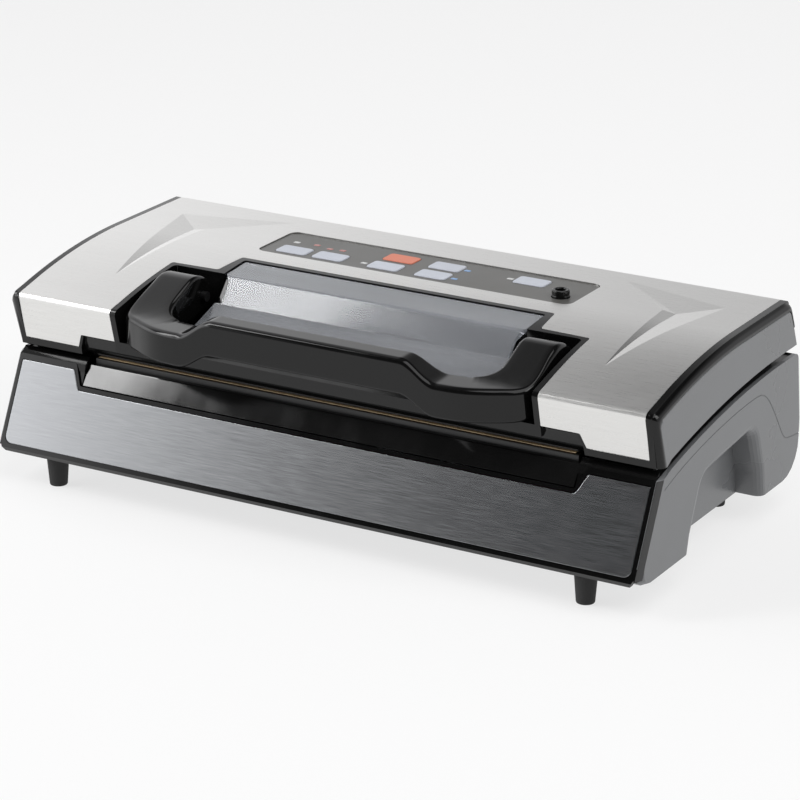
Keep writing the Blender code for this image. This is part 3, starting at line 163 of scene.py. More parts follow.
class Look:
    """Builds one node material step by step."""

    def __init__(self, name):
        self.material = bpy.data.materials.new(name)
        self.material.use_nodes = True
        self.nodes = self.material.node_tree.nodes
        self.links = self.material.node_tree.links
        self.shader = self.nodes["Principled BSDF"]
        self.place = self.nodes.new("ShaderNodeTexCoord").outputs["Object"]

    def set(self, **values):
        """Constant shader inputs; underscores stand for spaces."""
        for key, value in values.items():
            socket = self.shader.inputs[key.replace("_", " ")]
            socket.default_value = (*value, 1.0) if isinstance(value, tuple) else value
        return self

    def noise(self, scale, detail=3.0, roughness=0.55):
        """Noise whose three axes may be stretched; scale is in cells for each metre."""
        mapping = self.nodes.new("ShaderNodeMapping")
        mapping.inputs["Scale"].default_value = scale if isinstance(scale, tuple) else (scale,) * 3
        self.links.new(self.place, mapping.inputs["Vector"])
        noise = self.nodes.new("ShaderNodeTexNoise")
        noise.inputs["Scale"].default_value = 1.0
        noise.inputs["Detail"].default_value = detail
        noise.inputs["Roughness"].default_value = roughness
        self.links.new(mapping.outputs[0], noise.inputs["Vector"])
        return noise.outputs["Fac"]

    def spread(self, factor, low, high, start=0.3, end=0.7):
        """Map a factor onto a range of numbers."""
        node = self.nodes.new("ShaderNodeMapRange")
        for index, value in enumerate((start, end, low, high)):
            node.inputs[index + 1].default_value = value
        self.links.new(factor, node.inputs[0])
        return node.outputs[0]

    def blend(self, factor, first, second, start=0.3, end=0.7):
        """A colour between two others."""
        ramp = self.nodes.new("ShaderNodeValToRGB")
        ramp.color_ramp.elements[0].position = start
        ramp.color_ramp.elements[0].color = (*first, 1.0)
        ramp.color_ramp.elements[1].position = end
        ramp.color_ramp.elements[1].color = (*second, 1.0)
        self.links.new(factor, ramp.inputs[0])
        return ramp.outputs[0]

    def combine(self, kind, first, second, factor=0.5):
        """Mix two colours."""
        mix = self.nodes.new("ShaderNodeMix")
        mix.data_type = "RGBA"
        mix.blend_type = kind
        mix.inputs[0].default_value = factor
        self.links.new(first, mix.inputs[6])
        self.links.new(second, mix.inputs[7])
        return mix.outputs[2]

    def put(self, source, name):
        self.links.new(source, self.shader.inputs[name])
        return self

    def bump(self, factor, strength, distance=0.0001):
        node = self.nodes.new("ShaderNodeBump")
        node.inputs["Strength"].default_value = strength
        node.inputs["Distance"].default_value = distance
        self.links.new(factor, node.inputs["Height"])
        self.links.new(node.outputs[0], self.shader.inputs["Normal"])
        return self


def brushed(name, dark, light, rough_low, rough_high, relief=0.1, along="X"):
    """Brushed metal: short fine scratches along one axis over slow cloudiness."""
    axes = {"X": (70.0, 3400.0, 3400.0), "Y": (3400.0, 70.0, 3400.0), "Z": (3400.0, 3400.0, 70.0)}
    fine = axes[along]
    coarse = tuple(value * (0.35 if value < 100.0 else 0.12) for value in fine)
    look = Look(name).set(Metallic=1.0)
    streak = look.noise(fine, 2.0)
    band = look.noise(coarse, 3.0)
    first = look.blend(streak, dark, light, 0.2, 0.8)
    second = look.blend(band, (0.975, 0.975, 0.975), (1.0, 1.0, 1.0), 0.3, 0.7)
    look.put(look.combine("MULTIPLY", first, second, 1.0), "Base Color")
    look.put(look.spread(streak, rough_low, rough_high, 0.25, 0.75), "Roughness")
    look.bump(streak, relief, 0.00002)
    return look.material


def gloss(name, colour, rough_low=0.05, rough_high=0.12, haze=0.0, shine=0.34):
    """Polished moulded plastic, with slow waviness and faint wipe marks."""
    look = Look(name).set(Specular_IOR_Level=shine)
    wipe = look.noise((60.0, 25.0, 40.0), 4.0)
    speck = look.noise(700.0, 2.0)
    lighter = tuple(value * 1.35 + haze for value in colour)
    look.put(look.blend(speck, colour, lighter, 0.35, 0.7), "Base Color")
    look.put(look.spread(wipe, rough_low, rough_high), "Roughness")
    look.bump(look.noise(180.0, 1.0), 0.02, 0.00006)
    return look.material


def moulded(name, colour, rough_low=0.34, rough_high=0.48, grain=2400.0, relief=0.22):
    """Satin moulded plastic with a fine spark-eroded grain."""
    look = Look(name)
    pebble = look.noise(grain, 2.0, 0.5)
    cloud = look.noise(22.0, 3.0)
    darker = tuple(value * 0.9 for value in colour)
    lighter = tuple(min(1.0, value * 1.06) for value in colour)
    shade = look.blend(cloud, darker, lighter, 0.3, 0.7)
    speck = look.blend(pebble, (0.9, 0.9, 0.9), (1.0, 1.0, 1.0), 0.35, 0.65)
    look.put(look.combine("MULTIPLY", shade, speck, 1.0), "Base Color")
    look.put(look.spread(cloud, rough_low, rough_high), "Roughness")
    look.bump(pebble, relief, 0.00004)
    return look.material


def rubbery(name, colour, cell=1500.0, relief=0.5):
    look = Look(name)
    grain = look.noise(cell, 3.0)
    lighter = tuple(value * 1.7 + 0.01 for value in colour)
    look.put(look.blend(grain, colour, lighter, 0.3, 0.75), "Base Color")
    look.put(look.spread(grain, 0.7, 0.92), "Roughness")
    look.bump(grain, relief, 0.0001)
    return look.material


def cloth_tape(name):
    """Coated glass cloth: amber with a fine square weave."""
    look = Look(name)
    tints = []
    for axis in ("X", "Y"):
        wave = look.nodes.new("ShaderNodeTexWave")
        wave.bands_direction = axis
        wave.inputs["Scale"].default_value = 900.0
        wave.inputs["Distortion"].default_value = 0.6
        look.links.new(look.place, wave.inputs["Vector"])
        tints.append(look.blend(wave.outputs["Fac"], (0.42, 0.27, 0.13), (0.86, 0.66, 0.40), 0.1, 0.9))
    look.put(look.combine("MIX", tints[0], tints[1], 0.5), "Base Color")
    look.put(look.spread(look.noise(80.0), 0.28, 0.45), "Roughness")
    look.bump(look.noise(1800.0), 0.3, 0.00005)
    return look.material


def clear_sheet(name):
    """Clear acrylic, slightly milky, with faint cloudiness."""
    look = Look(name).set(IOR=1.49, Transmission_Weight=0.74)
    haze = look.noise((14.0, 60.0, 60.0), 4.0)
    look.put(look.blend(haze, (0.56, 0.58, 0.62), (0.68, 0.70, 0.74), 0.3, 0.7), "Base Color")
    look.put(look.spread(haze, 0.07, 0.11), "Roughness")
    return look.material


def board(name):
    """Printed circuit board: green mask with tracks and pads."""
    look = Look(name)
    cells = look.nodes.new("ShaderNodeTexVoronoi")
    cells.distance = "MANHATTAN"
    cells.inputs["Scale"].default_value = 260.0
    look.links.new(look.place, cells.inputs["Vector"])
    look.put(look.blend(cells.outputs["Distance"], (0.45, 0.36, 0.16), (0.02, 0.13, 0.06), 0.12, 0.2),
             "Base Color")
    look.put(look.spread(look.noise(300.0), 0.35, 0.55), "Roughness")
    look.bump(cells.outputs["Distance"], 0.15, 0.0001)
    return look.material


STEEL = brushed("brushed_stainless", (0.74, 0.735, 0.72), (0.82, 0.815, 0.80), 0.26, 0.34, 0.07)
DARK_STEEL = brushed("dark_brushed_steel", (0.27, 0.277, 0.286), (0.35, 0.357, 0.366), 0.17, 0.24, 0.03)
ZINC = brushed("zinc_plate", (0.42, 0.43, 0.44), (0.6, 0.6, 0.6), 0.3, 0.5, 0.2, "Z")
BLACK_GLOSS = gloss("black_gloss", (0.0035, 0.0035, 0.0035))
RAMP_GLOSS = gloss("ramp_gloss", (0.0035, 0.0035, 0.0035), 0.08, 0.13, shine=0.74)
BLACK_SATIN = moulded("black_satin", (0.010, 0.010, 0.0105), 0.3, 0.42)
GREY = moulded("grey_plastic", (0.16, 0.164, 0.17), 0.26, 0.36)
RUBBER = rubbery("black_rubber", (0.013, 0.013, 0.013))
FOAM = rubbery("foam", (0.05, 0.05, 0.052), 900.0, 0.8)
SILICONE = rubbery("dark_silicone", (0.018, 0.016, 0.015), 2500.0, 0.15)
TAPE = cloth_tape("seal_tape")
WINDOW = clear_sheet("window_acrylic")
PANEL = moulded("panel_plastic", (0.102, 0.100, 0.094), 0.3, 0.4, 3500.0, 0.15)
KEY = moulded("key_plastic", (0.58, 0.61, 0.68), 0.35, 0.5, 3500.0, 0.1)
KEY_STOP = moulded("key_stop_plastic", (0.72, 0.215, 0.13), 0.35, 0.5, 3500.0, 0.1)
LAMP_WHITE = moulded("lamp_white", (0.62, 0.63, 0.62), 0.2, 0.3, 3500.0, 0.05)
LAMP_RED = moulded("lamp_red", (0.44, 0.17, 0.15), 0.2, 0.3, 3500.0, 0.05)
LAMP_BLUE = moulded("lamp_blue", (0.2, 0.36, 0.62), 0.2, 0.3, 3500.0, 0.05)
BOARD = board("circuit_board")
HOSE = gloss("clear_hose", (0.5, 0.5, 0.47), 0.2, 0.35)
COPPER = brushed("copper_strip", (0.5, 0.26, 0.14), (0.72, 0.42, 0.25), 0.25, 0.4)

NODE_LOOKS = {
    "steel_cover": STEEL, "front_steel_panel": DARK_STEEL, "front_frame": BLACK_GLOSS,
    "bag_ramp": RAMP_GLOSS, "lid_shell": BLACK_GLOSS, "handle": BLACK_GLOSS,
    "window_frame": BLACK_GLOSS, "base_shell": GREY, "lid_cheek_left": GREY,
    "lid_cheek_right": GREY, "seal_tape": TAPE, "heating_strip": COPPER, "lower_gasket": FOAM,
    "upper_gasket": FOAM, "pressure_strip": SILICONE, "viewing_window": WINDOW,
    "control_panel": PANEL, "control_board": BOARD, "power_board": BOARD, "vacuum_hose": HOSE,
    "port_hose": HOSE, "key_stop": KEY_STOP, "latch_shaft_left": BLACK_SATIN,
    "latch_shaft_right": BLACK_SATIN,
}


def node_look(name):
    if name in NODE_LOOKS:
        return NODE_LOOKS[name]
    if name.startswith("key_"):
        return KEY
    if name.startswith("foot_"):
        return RUBBER
    if name.startswith(("hinge_pin", "hinge_bracket", "latch_shaft", "latch_catch", "pump_motor",
                        "vacuum_pump", "transformer")):
        return ZINC
    return BLACK_SATIN


for node_name, node in NODES.items():
    node.data.materials.clear()
    node.data.materials.append(node_look(node_name))
    for face in node.data.polygons:
        face.use_smooth = True
    node.data.set_sharp_from_angle(angle=math.radians(28.0))


# Modelling tools --------------------------------------------------------------------------

def fillet(points, radii, steps=5):
    """Round the corners of a closed outline; radii is one number or one for each corner."""
    rounded = []
    for index, corner in enumerate(points):
        radius = radii[index] if isinstance(radii, (list, tuple)) else radii
        here = Vector(corner)
        to_last = (Vector(points[index - 1]) - here).normalized()
        to_next = (Vector(points[(index + 1) % len(points)]) - here).normalized()
        angle = to_last.angle(to_next)
        if radius <= 0.0 or angle > math.radians(179.0):
            rounded.append(tuple(here))
            continue
        centre = here + (to_last + to_next).normalized() * radius / math.sin(angle / 2)
        spoke = here + to_last * radius / math.tan(angle / 2) - centre
        turn = math.pi - angle
        if to_last.x * to_next.y - to_last.y * to_next.x > 0.0:
            turn = -turn
        for step in range(steps + 1):
            share = turn * step / steps
            rounded.append((centre.x + spoke.x * math.cos(share) - spoke.y * math.sin(share),
                            centre.y + spoke.x * math.sin(share) + spoke.y * math.cos(share)))
    return rounded


def spread(low, high, count):
    """Evenly spaced values, both ends included."""
    return [low + (high - low) * step / (count - 1) for step in range(count)]


def rectangle(x_low, x_high, y_low, y_high):
    return [(x_low, y_low), (x_high, y_low), (x_high, y_high), (x_low, y_high)]


def mirrored(points):
    """Close a right-hand outline with its mirror image across X = 0."""
    return list(points) + [(-x, y) for x, y in reversed(points)]


PLACE = {
    "X": lambda a, b, c: Vector((c, a, b)),
    "Y": lambda a, b, c: Vector((a, c, b)),
    "Z": lambda a, b, c: Vector((a, b, c)),
}


def prism(outline, low, high, axis="X"):
    """Extrude an outline along an axis: (y, z) along X, (x, z) along Y, (x, y) along Z."""
    builder = bmesh.new()
    place = PLACE[axis]
    corners = [builder.verts.new(place(a, b, low) * MM) for a, b in outline]
    face = builder.faces.new(corners)
    grown = bmesh.ops.extrude_face_region(builder, geom=[face])["geom"]
    moved = [item for item in grown if isinstance(item, bmesh.types.BMVert)]
    bmesh.ops.translate(builder, verts=moved, vec=place(0.0, 0.0, high - low) * MM)
    return builder


def box(x, y, z):
    """A cube stretched between three pairs of limits."""
    return prism(rectangle(x[0], x[1], y[0], y[1]), z[0], z[1], "Z")


def rod(radius, low, high, at, axis="Z", segments=48):
    """A cylinder along an axis; `at` holds its other two coordinates."""
    outline = [(at[0] + radius * math.cos(math.tau * i / segments),
                at[1] + radius * math.sin(math.tau * i / segments)) for i in range(segments)]
    return prism(outline, low, high, axis)


def loft(rings, closed=False):
    """Skin a row of closed rings that have the same number of points."""
    builder = bmesh.new()
    rows = [[builder.verts.new(Vector(point) * MM) for point in ring] for ring in rings]
    pairs = list(zip(rows, rows[1:] + rows[:1])) if closed else list(zip(rows, rows[1:]))
    for first, second in pairs:
        for i in range(len(first)):
            builder.faces.new((first[i - 1], first[i], second[i], second[i - 1]))
    if not closed:
        builder.faces.new(rows[0])
        builder.faces.new(list(reversed(rows[-1])))
    return builder


def side_ring(outline, x):
    """Stand a (y, z) outline up at one X."""
    return [(x, y, z) for y, z in outline]


def lathe(profile, at, segments=48):
    """Turn a closed (radius, z) profile about a vertical axis."""
    rings = []
    for i in range(segments):
        turn = math.tau * i / segments
        rings.append([(at[0] + r * math.cos(turn), at[1] + r * math.sin(turn), z)
                      for r, z in profile])
    return loft(rings, closed=True)


def mesh_object(name, builder):
    bmesh.ops.recalc_face_normals(builder, faces=builder.faces)
    if builder.calc_volume(signed=True) < 0.0:
        bmesh.ops.reverse_faces(builder, faces=builder.faces)
    mesh = bpy.data.meshes.new(name)
    builder.to_mesh(mesh)
    builder.free()
    made = bpy.data.objects.new(name, mesh)
    bpy.context.scene.collection.objects.link(made)
    return made


def carve(target, operation, *builders):
    """Apply exact Booleans straight away, so that only the finished mesh is left."""
    helpers = []
    for builder in builders:
        helper = mesh_object("helper", builder)
        helpers.append(helper)
        modifier = target.modifiers.new("cut", "BOOLEAN")
        modifier.operation = operation
        modifier.solver = "EXACT"
        modifier.object = helper
    bake(target)
    for helper in helpers:
        bpy.data.objects.remove(helper, do_unlink=True)
    return target


def reopen(target):
    """Take a helper object's mesh back as a builder, and remove the object."""
    builder = bmesh.new()
    builder.from_mesh(target.data)
    bpy.data.objects.remove(target, do_unlink=True)
    return builder


def bake(target):
    """Turn an object's modifiers into plain mesh."""
    graph = bpy.context.evaluated_depsgraph_get()
    mesh = bpy.data.meshes.new_from_object(target.evaluated_get(graph))
    target.modifiers.clear()
    old = target.data
    target.data = mesh
    bpy.data.meshes.remove(old)
    return target


def soften(target, width, segments=2, angle=32.0):
    """Round every edge sharper than an angle."""
    modifier = target.modifiers.new("edge", "BEVEL")
    modifier.width = width * MM
    modifier.segments = segments
    modifier.limit_method = "ANGLE"
    modifier.angle_limit = math.radians(angle)
    modifier.miter_outer = "MITER_ARC"
    modifier.harden_normals = False
    return bake(target)


def even_normals(target):
    """Let the large faces decide the shading, so that flat areas stay flat beside a bevel."""
    modifier = target.modifiers.new("normals", "WEIGHTED_NORMAL")
    modifier.mode = "FACE_AREA"
    modifier.weight = 50
    modifier.keep_sharp = True


def piece(target, body, look, replaces=(), sharp=28.0):
    """Finish one visible piece and hang it on its body."""
    target.data.materials.clear()
    target.data.materials.append(look)
    for face in target.data.polygons:
        face.use_smooth = True
    target.data.set_sharp_from_angle(angle=math.radians(sharp))
    even_normals(target)
    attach(target, body)
    if replaces:
        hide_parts(*replaces)
    return target


# Shared curves of the design --------------------------------------------------------------

SIDE = 210.0               # half of the width over the side faces
BASE_FRONT = -104.0        # foot of the leaning front plane
FRONT_LOW = 21.1           # height of that foot
LEAN = 0.485               # Y gained for each millimetre of height
CREASE = (-86.0, 110.6)    # the lid's top folds into its front face here
LID_FRONT_FOOT = (-77.9, 77.4)
LID_TOP = 125.3            # flat rear part of the lid
HANDLE_AXIS = (-36.0, 111.0)


def front_y(z):
    """The leaning front plane of the base."""
    return BASE_FRONT + LEAN * (z - FRONT_LOW)


def lid_low(y):
    """Lower edge of the lid."""
    return 96.3 - 0.00077 * (80.0 - y) ** 2


def lid_top(y):
    """Top surface of the lid."""
    return LID_TOP - 0.001317 * max(0.0, 21.4 - y) ** 2


def lid_front_y(z):
    """Front face of the lid."""
    share = (CREASE[1] - z) / (CREASE[1] - LID_FRONT_FOOT[1])
    return CREASE[0] + (LID_FRONT_FOOT[0] - CREASE[0]) * share


def crown(drop, y_front, y_rear, count):
    """Points along the lid's top surface, lowered by `drop`, from front to rear."""
    return [(y, lid_top(y) - drop) for y in spread(y_front, y_rear, count)]


# Handle -----------------------------------------------------------------------------------

# Plan points of the inner and the outer edge, from the middle of the bar to the arm's end
HANDLE_RAILS = [
    ((0.0, -85.0), (0.0, -100.1)), ((30.0, -85.0), (30.0, -100.1)), ((52.0, -85.0), (52.0, -100.1)),
    ((60.0, -84.9), (60.0, -100.1)), ((66.0, -84.2), (67.0, -100.1)), ((72.0, -82.4), (74.0, -100.1)),
    ((78.0, -80.2), (81.0, -100.0)), ((84.0, -78.6), (88.0, -99.8)), ((90.0, -77.9), (96.0, -99.0)),
    ((95.0, -77.2), (103.0, -97.3)), ((99.5, -75.4), (110.0, -94.4)), ((103.0, -72.6), (117.6, -90.4)),
    ((105.6, -69.0), (125.4, -86.0)), ((106.8, -65.0), (130.2, -81.2)), ((107.0, -60.5), (132.0, -74.0)),
    ((107.0, -56.0), (132.0, -65.0)), ((107.0, -51.5), (131.3, -55.0)), ((107.0, -47.5), (131.2, -48.5)),
    ((107.0, -44.0), (131.1, -44.3)), ((107.0, -40.5), (131.0, -40.5)), ((107.0, -37.0), (131.0, -37.0)),
    ((107.0, -34.0), (130.9, -34.0)), ((107.0, -31.6), (130.8, -31.6)), ((107.0, -30.0), (130.6, -30.0)),
    ((107.0, -29.0), (130.3, -29.0)),
]
ARM_TOP = [(-86.0, 110.0), (-80.0, 110.4), (-72.0, 112.8), (-65.0, 115.8), (-57.0, 119.5),
           (-50.0, 122.6), (-46.5, 123.8), (-42.0, 124.2), (-38.0, 123.6), (-34.0, 122.2),
           (-31.0, 120.4), (-29.6, 118.0), (-29.0, 115.0)]
ARM_BOTTOM = [(-90.0, 90.6), (-84.0, 91.0), (-80.0, 91.6), (-75.0, 93.2), (-68.0, 95.8),
              (-58.0, 98.0), (-44.0, 100.4), (-35.0, 102.6), (-31.0, 105.0), (-29.0, 109.0)]


def smooth_step(value, low, high):
    share = min(1.0, max(0.0, (value - low) / (high - low)))
    return share * share * (3.0 - 2.0 * share)


def curve_through(knots, steps):
    """Points on a smooth curve through the knots, which are tuples of numbers."""
    padded = [knots[0]] + list(knots) + [knots[-1]]
    path = []
    for a, b, c, d in zip(padded, padded[1:], padded[2:], padded[3:]):
        for step in range(steps):
            t = step / steps
            path.append(tuple(0.5 * (2 * q + (r - p) * t + (2 * p - 5 * q + 4 * r - s) * t * t
                                     + (3 * q - p - 3 * r + s) * t ** 3)
                              for p, q, r, s in zip(a, b, c, d)))
    path.append(tuple(knots[-1]))
    return path


def follow(points, y):
    """Smooth look-up along a short list of (y, z)."""
    if y <= points[0][0]:
        return points[0][1]
    if y >= points[-1][0]:
        return points[-1][1]
    for i in range(len(points) - 1):
        if y <= points[i + 1][0]:
            break
    (y0, z0), (y1, z1) = points[i], points[i + 1]
    before = points[i - 1] if i > 0 else points[i]
    after = points[i + 2] if i + 2 < len(points) else points[i + 1]
    slope0 = (z1 - before[1]) / max(y1 - before[0], 1e-6)
    slope1 = (after[1] - z0) / max(after[0] - y0, 1e-6)
    width = y1 - y0
    t = (y - y0) / width
    return ((2 * t ** 3 - 3 * t * t + 1) * z0 + (t ** 3 - 2 * t * t + t) * width * slope0
            + (3 * t * t - 2 * t ** 3) * z1 + (t ** 3 - t * t) * width * slope1)


def handle_heights(x, y):
    """Lower and upper height of the handle at one plan point."""
    share = smooth_step(x, 61.0, 83.0)
    if y < -77.0 and x < 100.0:
        low = 100.4 - 9.8 * share
        return (low if y < -82.0 else max(low, 91.5)), 121.0 - 11.0 * share
    return follow(ARM_BOTTOM, y), follow(ARM_TOP, y)


def build_handle():
    rings = []
    knots = [(*inner, *outer) for inner, outer in HANDLE_RAILS]
    for inner_x, inner_y, outer_x, outer_y in curve_through(knots, 5):
        inner, outer = Vector((inner_x, inner_y)), Vector((outer_x, outer_y))
        width = (outer - inner).length
        places = [inner + (outer - inner) * share for share in (0.0, 0.25, 0.5, 0.75, 1.0)]
        heights = [handle_heights(place.x, place.y) for place in places]
        lower = [(width * share, low) for share, (low, _) in zip((0.0, 0.5, 1.0), heights[::2])]
        upper = [(width * share, high) for share, (_, high)
                 in zip((0.0, 0.25, 0.5, 0.75, 1.0), heights)]
        outline = fillet(lower + upper[::-1], [1.6, 0.0, 2.0, 3.4, 0.0, 0.0, 0.0, 2.2], 6)
        rings.append([(inner.x + (outer.x - inner.x) * s / width,
                       inner.y + (outer.y - inner.y) * s / width, z) for s, z in outline])
    left = [[(-x, y, z) for x, y, z in ring] for ring in reversed(rings[1:])]
    handle = mesh_object("handle_grip", loft(left + rings))
    soften(handle, 1.4, 3, 55.0)
    carve(handle, "DIFFERENCE", rod(3.3, -134.0, -102.0, HANDLE_AXIS, "X", 32),
          rod(3.3, 102.0, 134.0, HANDLE_AXIS, "X", 32))
    piece(handle, "handle_body", BLACK_GLOSS, ("handle",), 40.0)


# Steel cover ------------------------------------------------------------------------------

STEEL_HALF = 203.1
STEEL_THICK = 0.8
FRONT_STEP = [(165.9, 60.0), (165.9, 82.2), (162.4, 90.9)]   # step in the lid's front edge
PANEL_HALF = 104.3
FACET_OUTLINE = [(112.0, 74.0), (182.5, 56.5), (160.0, -49.0), (153.4, 36.0)]
FACET_APEX = (161.2, 37.0)
FACET_DEPTH = 1.5


def steel_opening():
    """Plan of the opening in the steel cover around the handle and the window."""
    right = [(139.9, -130.0), (137.6, -21.6), (106.4, -20.6), (103.6, 1.7)]
    return fillet(mirrored(right), [0.0, 1.6, 2.0, 1.6, 1.6, 2.0, 1.6, 0.0], 5)


def panel_outline():
    """Plan of the recess for the control panel."""
    return fillet(rectangle(-PANEL_HALF, PANEL_HALF, 17.1, 59.7), 5.3, 8)


def facet_depth(x, y):
    """How far the steel is pressed in at one place."""
    here = Vector((abs(x), y))
    apex = Vector(FACET_APEX)
    for index, corner in enumerate(FACET_OUTLINE):
        first = Vector(corner) - apex
        second = Vector(FACET_OUTLINE[(index + 1) % len(FACET_OUTLINE)]) - apex
        area = first.x * second.y - first.y * second.x
        reach = here - apex
        along = (reach.x * second.y - reach.y * second.x) / area
        across = (first.x * reach.y - first.y * reach.x) / area
        if along >= -1e-4 and across >= -1e-4 and along + across <= 1.0001:
            return FACET_DEPTH * max(0.0, 1.0 - along - across)
    return 0.0


def on_segment(point, start, end):
    """Whether a plan point lies on a line between two others."""
    a, b, p = Vector(start), Vector(end), Vector(point)
    reach = b - a
    share = max(0.0, min(1.0, (p - a).dot(reach) / reach.length_squared))
    return (a + reach * share - p).length < 0.02


def press_facets(target):
    """Cut the facet lines into the sheet, push their inside down and keep the folds crisp."""
    builder = bmesh.new()
    builder.from_mesh(target.data)
    marks = builder.edges.layers.int.new("fold")
    lines = list(zip(FACET_OUTLINE, FACET_OUTLINE[1:] + FACET_OUTLINE[:1]))
    lines += [(FACET_APEX, corner) for corner in FACET_OUTLINE]
    for x in (-188.0, -108.0, 108.0, 188.0):
        bmesh.ops.bisect_plane(builder, geom=list(builder.verts) + list(builder.edges)
                               + list(builder.faces), dist=1e-7,
                               plane_co=Vector((x * MM, 0.0, 0.0)), plane_no=Vector((1.0, 0.0, 0.0)))
    for sign in (-1, 1):
        for start, end in lines:
            first = Vector((sign * start[0], start[1], 0.0)) * MM
            last = Vector((sign * end[0], end[1], 0.0)) * MM
            normal = (last - first).cross(Vector((0.0, 0.0, 1.0))).normalized()
            faces = [face for face in builder.faces
                     if 108.0 * MM < sign * face.calc_center_median().x < 188.0 * MM
                     and face.calc_center_median().y > -62.0 * MM]
            edges = {edge for face in faces for edge in face.edges}
            corners = {corner for face in faces for corner in face.verts}
            bmesh.ops.bisect_plane(builder, geom=list(corners) + list(edges) + faces, dist=1e-7,
                                   plane_co=first, plane_no=normal)
    folds = set()
    for edge in builder.edges:
        ends = [(abs(corner.co.x) / MM, corner.co.y / MM) for corner in edge.verts]
        if (Vector(ends[0]) - Vector(ends[1])).length > 0.01 and any(
                all(on_segment(end, *line) for end in ends) for line in lines):
            folds.add(edge)
    for corner in builder.verts:
        corner.co.z -= facet_depth(corner.co.x / MM, corner.co.y / MM) * MM
    for edge in folds:
        edge[marks] = 1
    builder.to_mesh(target.data)
    builder.free()
    return target


def build_steel_cover():
    foot = 82.3
    outer = [(lid_front_y(foot), foot), CREASE] + crown(0.0, -74.0, 86.0, 65)
    outer = fillet(outer + [(86.0, LID_TOP - 1.0)], [0.0, 3.4] + [0.0] * 66, 8)[:-1]
    inner = []
    for index, (y, z) in enumerate(outer):
        before = Vector(outer[max(index - 1, 0)])
        after = Vector(outer[min(index + 1, len(outer) - 1)])
        along = (after - before).normalized()
        inner.append((y + along.y * STEEL_THICK, z - along.x * STEEL_THICK))
    sheet = mesh_object("steel", prism(outer + list(reversed(inner)), -STEEL_HALF, STEEL_HALF))
    step = mirrored(FRONT_STEP)
    carve(sheet, "DIFFERENCE", prism(steel_opening(), 60.0, 160.0, "Z"),
          prism(fillet(step, [0.0, 0.8, 1.2, 1.2, 0.8, 0.0], 4), -140.0, -60.0, "Y"),
          prism(panel_outline(), 110.0, 150.0, "Z"))
    soften(sheet, 0.28, 2, 60.0)
    press_facets(sheet)
    piece(sheet, "lid", STEEL, ("steel_cover",), 30.0)
    sheet.name = "steel_cover_skin"
    marks = sheet.data.attributes["fold"]
    for edge in sheet.data.edges:
        if marks.data[edge.index].value:
            edge.use_edge_sharp = True
    sheet.data.attributes.remove(marks)


# Lid body ---------------------------------------------------------------------------------

BAND = 6.7                 # width of the rounded black band along the lid's sides
BAND_DROP = 4.6            # how far the band falls away at the side
WALL = 2.4
INSIDE = SIDE - 3.2
WINDOW_HALF = 98.7
WELL_REAR = -24.3
WELL_FLOOR = 91.0
BAY_FLOOR = 95.7


def lid_outline(drop=0.0):
    """Side view of the lid, with its top and front moved inwards."""
    corners = [(LID_FRONT_FOOT[0] + drop * 1.1, LID_FRONT_FOOT[1]), (CREASE[0] + drop, CREASE[1] - drop)]
    radii = [0.8, 3.6]
    for point in crown(drop, -74.0, 80.0, 48):
        corners.append(point)
        radii.append(0.0)
    corners += [(88.6 - drop * 0.4, LID_TOP - drop), (96.6 - drop * 0.1, lid_low(96.6))]
    radii += [4.5, 0.8]
    for y in spread(86.0, -70.0, 40):
        corners.append((y, lid_low(y)))
        radii.append(0.0)
    return fillet(corners, radii, 8)


def band_path(drop, depth):
    """The part of the lid's outline that the black side band follows, `depth` further in."""
    inset = drop + depth
    path = [(LID_FRONT_FOOT[0] + inset + 0.2, LID_FRONT_FOOT[1] + 0.4)]
    path += [(CREASE[0] + inset, CREASE[1] - inset * 0.9 - 3.2),
             (CREASE[0] + inset * 0.96 + 0.6, CREASE[1] - inset * 0.96 - 1.0),
             (CREASE[0] + inset * 0.9 + 2.6, CREASE[1] - inset + 0.7)]
    path += crown(inset, -79.0, 82.0, 50)
    path += [(86.2 - inset * 0.3, LID_TOP - inset - 0.3), (88.4 - inset * 0.4, LID_TOP - inset - 1.6),
             (89.7 - inset * 0.4, LID_TOP - inset - 4.0), (92.6 - inset * 0.2, LID_TOP - inset - 12.0)]
    return path


def well_plan(grow):
    half = 135.2 + grow
    return mirrored([(half + 0.6, -120.0), (half - 0.8, WELL_REAR + grow)])


def bay_plan(grow):
    half = WINDOW_HALF + 1.0 + grow
    return rectangle(-half, half, WELL_REAR - 8.0, -2.0 + grow)


def well_cut():
    """The deep well around the handle."""
    return prism(fillet(well_plan(0.0), [0.0, 3.0, 3.0, 0.0], 6), WELL_FLOOR, 150.0, "Z")


def bay_cut():
    """The shallower bay under the window."""
    return prism(fillet(bay_plan(0.0), [0.0, 0.0, 1.4, 1.4], 6), BAY_FLOOR, 150.0, "Z")


def lip_body():
    """Everything in front of the rounded lip below the lid's front step."""
    lip = fillet([(-95.0, 68.0), (-95.0, 91.5), (-81.2, 91.5), (-78.6, 89.9), (-77.0, 85.6),
                  (-75.4, 81.4), (-73.2, 78.0), (-72.6, 76.0), (-72.6, 68.0)],
                 [0.0, 0.0, 0.4, 2.4, 6.0, 6.0, 2.0, 0.6, 0.0], 5)
    body = mesh_object("lip", prism(lip, -190.0, 190.0))
    face = mirrored([(164.3, 60.0), (164.3, 77.0), (163.9, 82.3), (160.3, 91.6)])
    face = fillet(face, [0.0, 1.0, 1.0, 0.6, 0.6, 1.0, 1.0, 0.0], 4)
    carve(body, "INTERSECT", prism(face, -120.0, -40.0, "Y"))
    return reopen(body)


